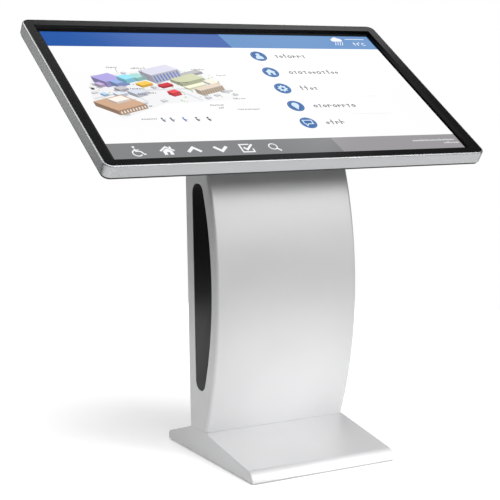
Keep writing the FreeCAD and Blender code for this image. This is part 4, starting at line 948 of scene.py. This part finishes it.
def inside(x, y, outline):
    """Whether a point lies in an outline."""
    crossings = 0
    for (ax, ay), (bx, by) in zip(outline, outline[1:] + outline[:1]):
        if (ay > y) != (by > y) and x < ax + (y - ay) * (bx - ax) / (by - ay):
            crossings += 1
    return crossings % 2 == 1


scatter = random.Random(11)
spots = [(scatter.uniform(-430, -60), scatter.uniform(-100, 90)) for _ in range(SPOTS)]
spots = [spot for spot in spots if inside(*spot, GROUND)]
houses = [building(x, y, scatter.uniform(7, 14), scatter.uniform(6, 10), scatter.uniform(4, 8))
          for x, y in spots[:HOUSES]]
for i, (part, tone) in enumerate(HOUSE_TONES):
    for turn in range(2):                         # every other house lies one step higher
        draw("map_house_%s_%d" % (part, turn + 1),
             display("display, house %s %d" % (part, turn + 1), tone),
             [faces[i] for faces in houses[turn::2]], HOUSE_LAYER + 0.3 * turn + 0.02 * i)
trees = [shape(circle(x, y, scatter.uniform(1.8, 3.2), 10)) for x, y in spots[HOUSES:]]
draw("map_trees", display("display, tree green", "#b7cda4", "#c6d8b6"), trees, TREE_LAYER)
print(len(houses), "houses and", len(trees), "trees")

# %% [markdown]
# Labels lie over everything, with a marker and two pointer lines. A row of small visitors
# under the map is its legend.

# %% Labels and legend
LABEL_HEIGHT, LABEL_LAYER = 7.0, 9
# middle and width, mm
LABELS = [(-338, 96, 28), (-272, 93, 36), (-120, 88, 34), (-68, 62, 24), (-310, 8, 30),
          (-182, 33, 26), (-62, -36, 32), (-135, -62, 34), (-127, -73, 14), (-325, -112, 38),
          (-60, -80, 56), (-304, -62, 14), (-306, -14, 16), (-276, -10, 18)]
LEGEND = [(-291, "#565f78"), (-269, "#565f78"), (-238, "#4a6cba"), (-206, "#4c5468"),
          (-177, "#33363e")]
labels = [stroke for x, y, wide in LABELS
          for stroke in caption(x - wide / 2, y - 3, wide, LABEL_HEIGHT)]
labels += [shape(circle(-415, 9, 4.5, 16)), line([(-330, 92), (-330, 74)], 1.0),
           line([(-268, 89), (-268, 72)], 1.0)]
draw("map_labels", display("display, label black", "#4a4b4f", "#5c5d61"), labels, LABEL_LAYER)
for i, (x, colour) in enumerate(LEGEND):
    visitor = [shape(circle(x - 2, -109, 2.8, 12)), line([(x - 3, -113), (x + 2, -122)], 4.0),
               line([(x, -114), (x + 6, -116)], 1.6)]
    draw("legend_%d" % (i + 1), display("display, legend %d" % (i + 1), colour), visitor, 1)
print(len(LABELS), "labels and", len(LEGEND), "legend signs")

# %% [markdown]
# ## The studio floor
# A kiosk stands on a floor, which gives it its contact shadow. A real studio sweep would show
# its edge from behind, so the floor is a round disc of matt white. It glows a little, as a lit
# table does, and throws light up onto the lower faces.

# %% Floor
FLOOR_RADIUS, FLOOR_SIDES = 2.0, 96           # m
FLOOR = finish("studio floor, matt white", "#f4f4f4", 0.9,
               Emission_Color=(1, 1, 1, 1), Emission_Strength=0.2)[0]
floor_mesh = bpy.data.meshes.new("floor")
floor_mesh.from_pydata([(x, y, 0) for x, y in circle(0, 0, FLOOR_RADIUS, FLOOR_SIDES)],
                       [], [tuple(range(FLOOR_SIDES))])
floor = new_object("floor", floor_mesh)
wear(floor, FLOOR)
print("floor", 2 * FLOOR_RADIUS, "m across")

# %% [markdown]
# ## The camera
# It stands to the left, three metres away and just below the head's top edge, and looks
# slightly down. A wide lens would stand nearer and make the head's front corner loom, so the
# lens is a long one, which keeps upright edges nearly parallel.

# %% Camera
LENS, SENSOR = 94.17, 36.0                    # mm
CAMERA_PLACE = Vector((-1.5572, -2.6013, 0.9060))
YAW, PITCH, ROLL = 29.59, 7.98, -0.18         # degrees: to the right, down, about the view
lens = bpy.data.cameras.new("camera")
lens.lens, lens.sensor_width = LENS, SENSOR
camera = new_object("camera", lens)
turn = (Matrix.Rotation(math.radians(-YAW), 4, "Z")
        @ Matrix.Rotation(math.radians(90 - PITCH), 4, "X")
        @ Matrix.Rotation(math.radians(-ROLL), 4, "Z"))
camera.matrix_world = Matrix.Translation(CAMERA_PLACE) @ turn
bpy.context.scene.camera = camera
print("camera axes", [[round(v, 4) for v in turn.to_3x3().col[i]] for i in range(3)])

# %% [markdown]
# ## The lights
# Painted steel has no strong colour of its own, so its shape reads only from how the light
# falls off from face to face. One big light would flatten it. Here a broad ceiling light does
# most of the work. Soft panels stand in front, behind, above the frame's rim and beside it,
# and one high up at the back is what the black bezel mirrors. A narrow spot lifts the front
# panel's foot.

# %% Lights
def turned_to(way, axis):
    """The turn that points an object's own axis along a way."""
    return Vector(way).to_track_quat(axis, "Y").to_matrix().to_4x4()


def light(name, kind, energy, matrix, **settings):
    lamp = bpy.data.lights.new(name, kind)
    for key, value in {"energy": energy, **settings}.items():
        setattr(lamp, key, value)
    piece = new_object(name, lamp)
    piece.matrix_world = matrix
    return piece


MIDDLE = (0.0, 0.0, 0.5)
# name, place, aim, width and height in m, watts
PANELS = [
    ("front light", (1.95, -3.2, 2.1), MIDDLE, 1.6, 1.3, 52),
    ("rear light", (0.4, 3.2, 2.6), MIDDLE, 2.0, 1.6, 34),
    ("rim light", (-2.1, 1.2, 3.3), (-0.45, 0.1, 0.8), 2.6, 1.9, 42),
    ("side light", (-2.15, 3.0, 0.85), (-0.5, 0.1, 0.85), 1.6, 0.7, 4.5),
    ("bezel light", (1.6, 2.25, 3.9), (0.4, 0.3, 0.9), 2.6, 1.1, 16),
]
for name, place, aim, width, height, watts in PANELS:
    way = Vector(aim) - Vector(place)
    panel = light(name, "AREA", watts, Matrix.Translation(Vector(place)) @ turned_to(way, "-Z"),
                  shape="RECTANGLE", size=width, size_y=height)
    panel.visible_camera = False
light("ceiling light", "SUN", 2.25, turned_to((0.14, -0.46, 0.87), "Z"), angle=math.radians(60))
light("foot spot", "SPOT", 170,
      Matrix.Translation((0.7, -2.4, 0.3)) @ turned_to((0.68, -2.4, 0.25), "Z"),
      spot_size=math.radians(13), spot_blend=1.0, shadow_soft_size=0.15)

# %% [markdown]
# The world is white where the camera sees it, so the product stands on clean white, and a dim
# grey that brightens upwards for every other ray, so the lights above do the modelling.

# %% World
world = bpy.data.worlds.new("studio")
bpy.context.scene.world = world
world.use_nodes = True
air = world.node_tree
air.nodes.clear()
ray = add(air, "ShaderNodeLightPath")
place = add(air, "ShaderNodeTexCoord")
height = add(air, "ShaderNodeSeparateXYZ", None, Vector=place.outputs["Generated"])
sky = add(air, "ShaderNodeMapRange", None,
          _0=height.outputs["Z"], _1=-0.1, _2=1.0, _3=0.06, _4=0.2)
dim = add(air, "ShaderNodeBackground", None, Color=(1, 1, 1, 1), Strength=sky.outputs[0])
clean = add(air, "ShaderNodeBackground", None, Color=(1, 1, 1, 1), Strength=1.0)
mixed = add(air, "ShaderNodeMixShader", None,
            _0=ray.outputs["Is Camera Ray"], _1=dim.outputs[0], _2=clean.outputs[0])
add(air, "ShaderNodeOutputWorld", None, Surface=mixed.outputs[0])
bpy.context.scene.view_settings.view_transform = "Standard"
print("a world of", len(air.nodes), "nodes")
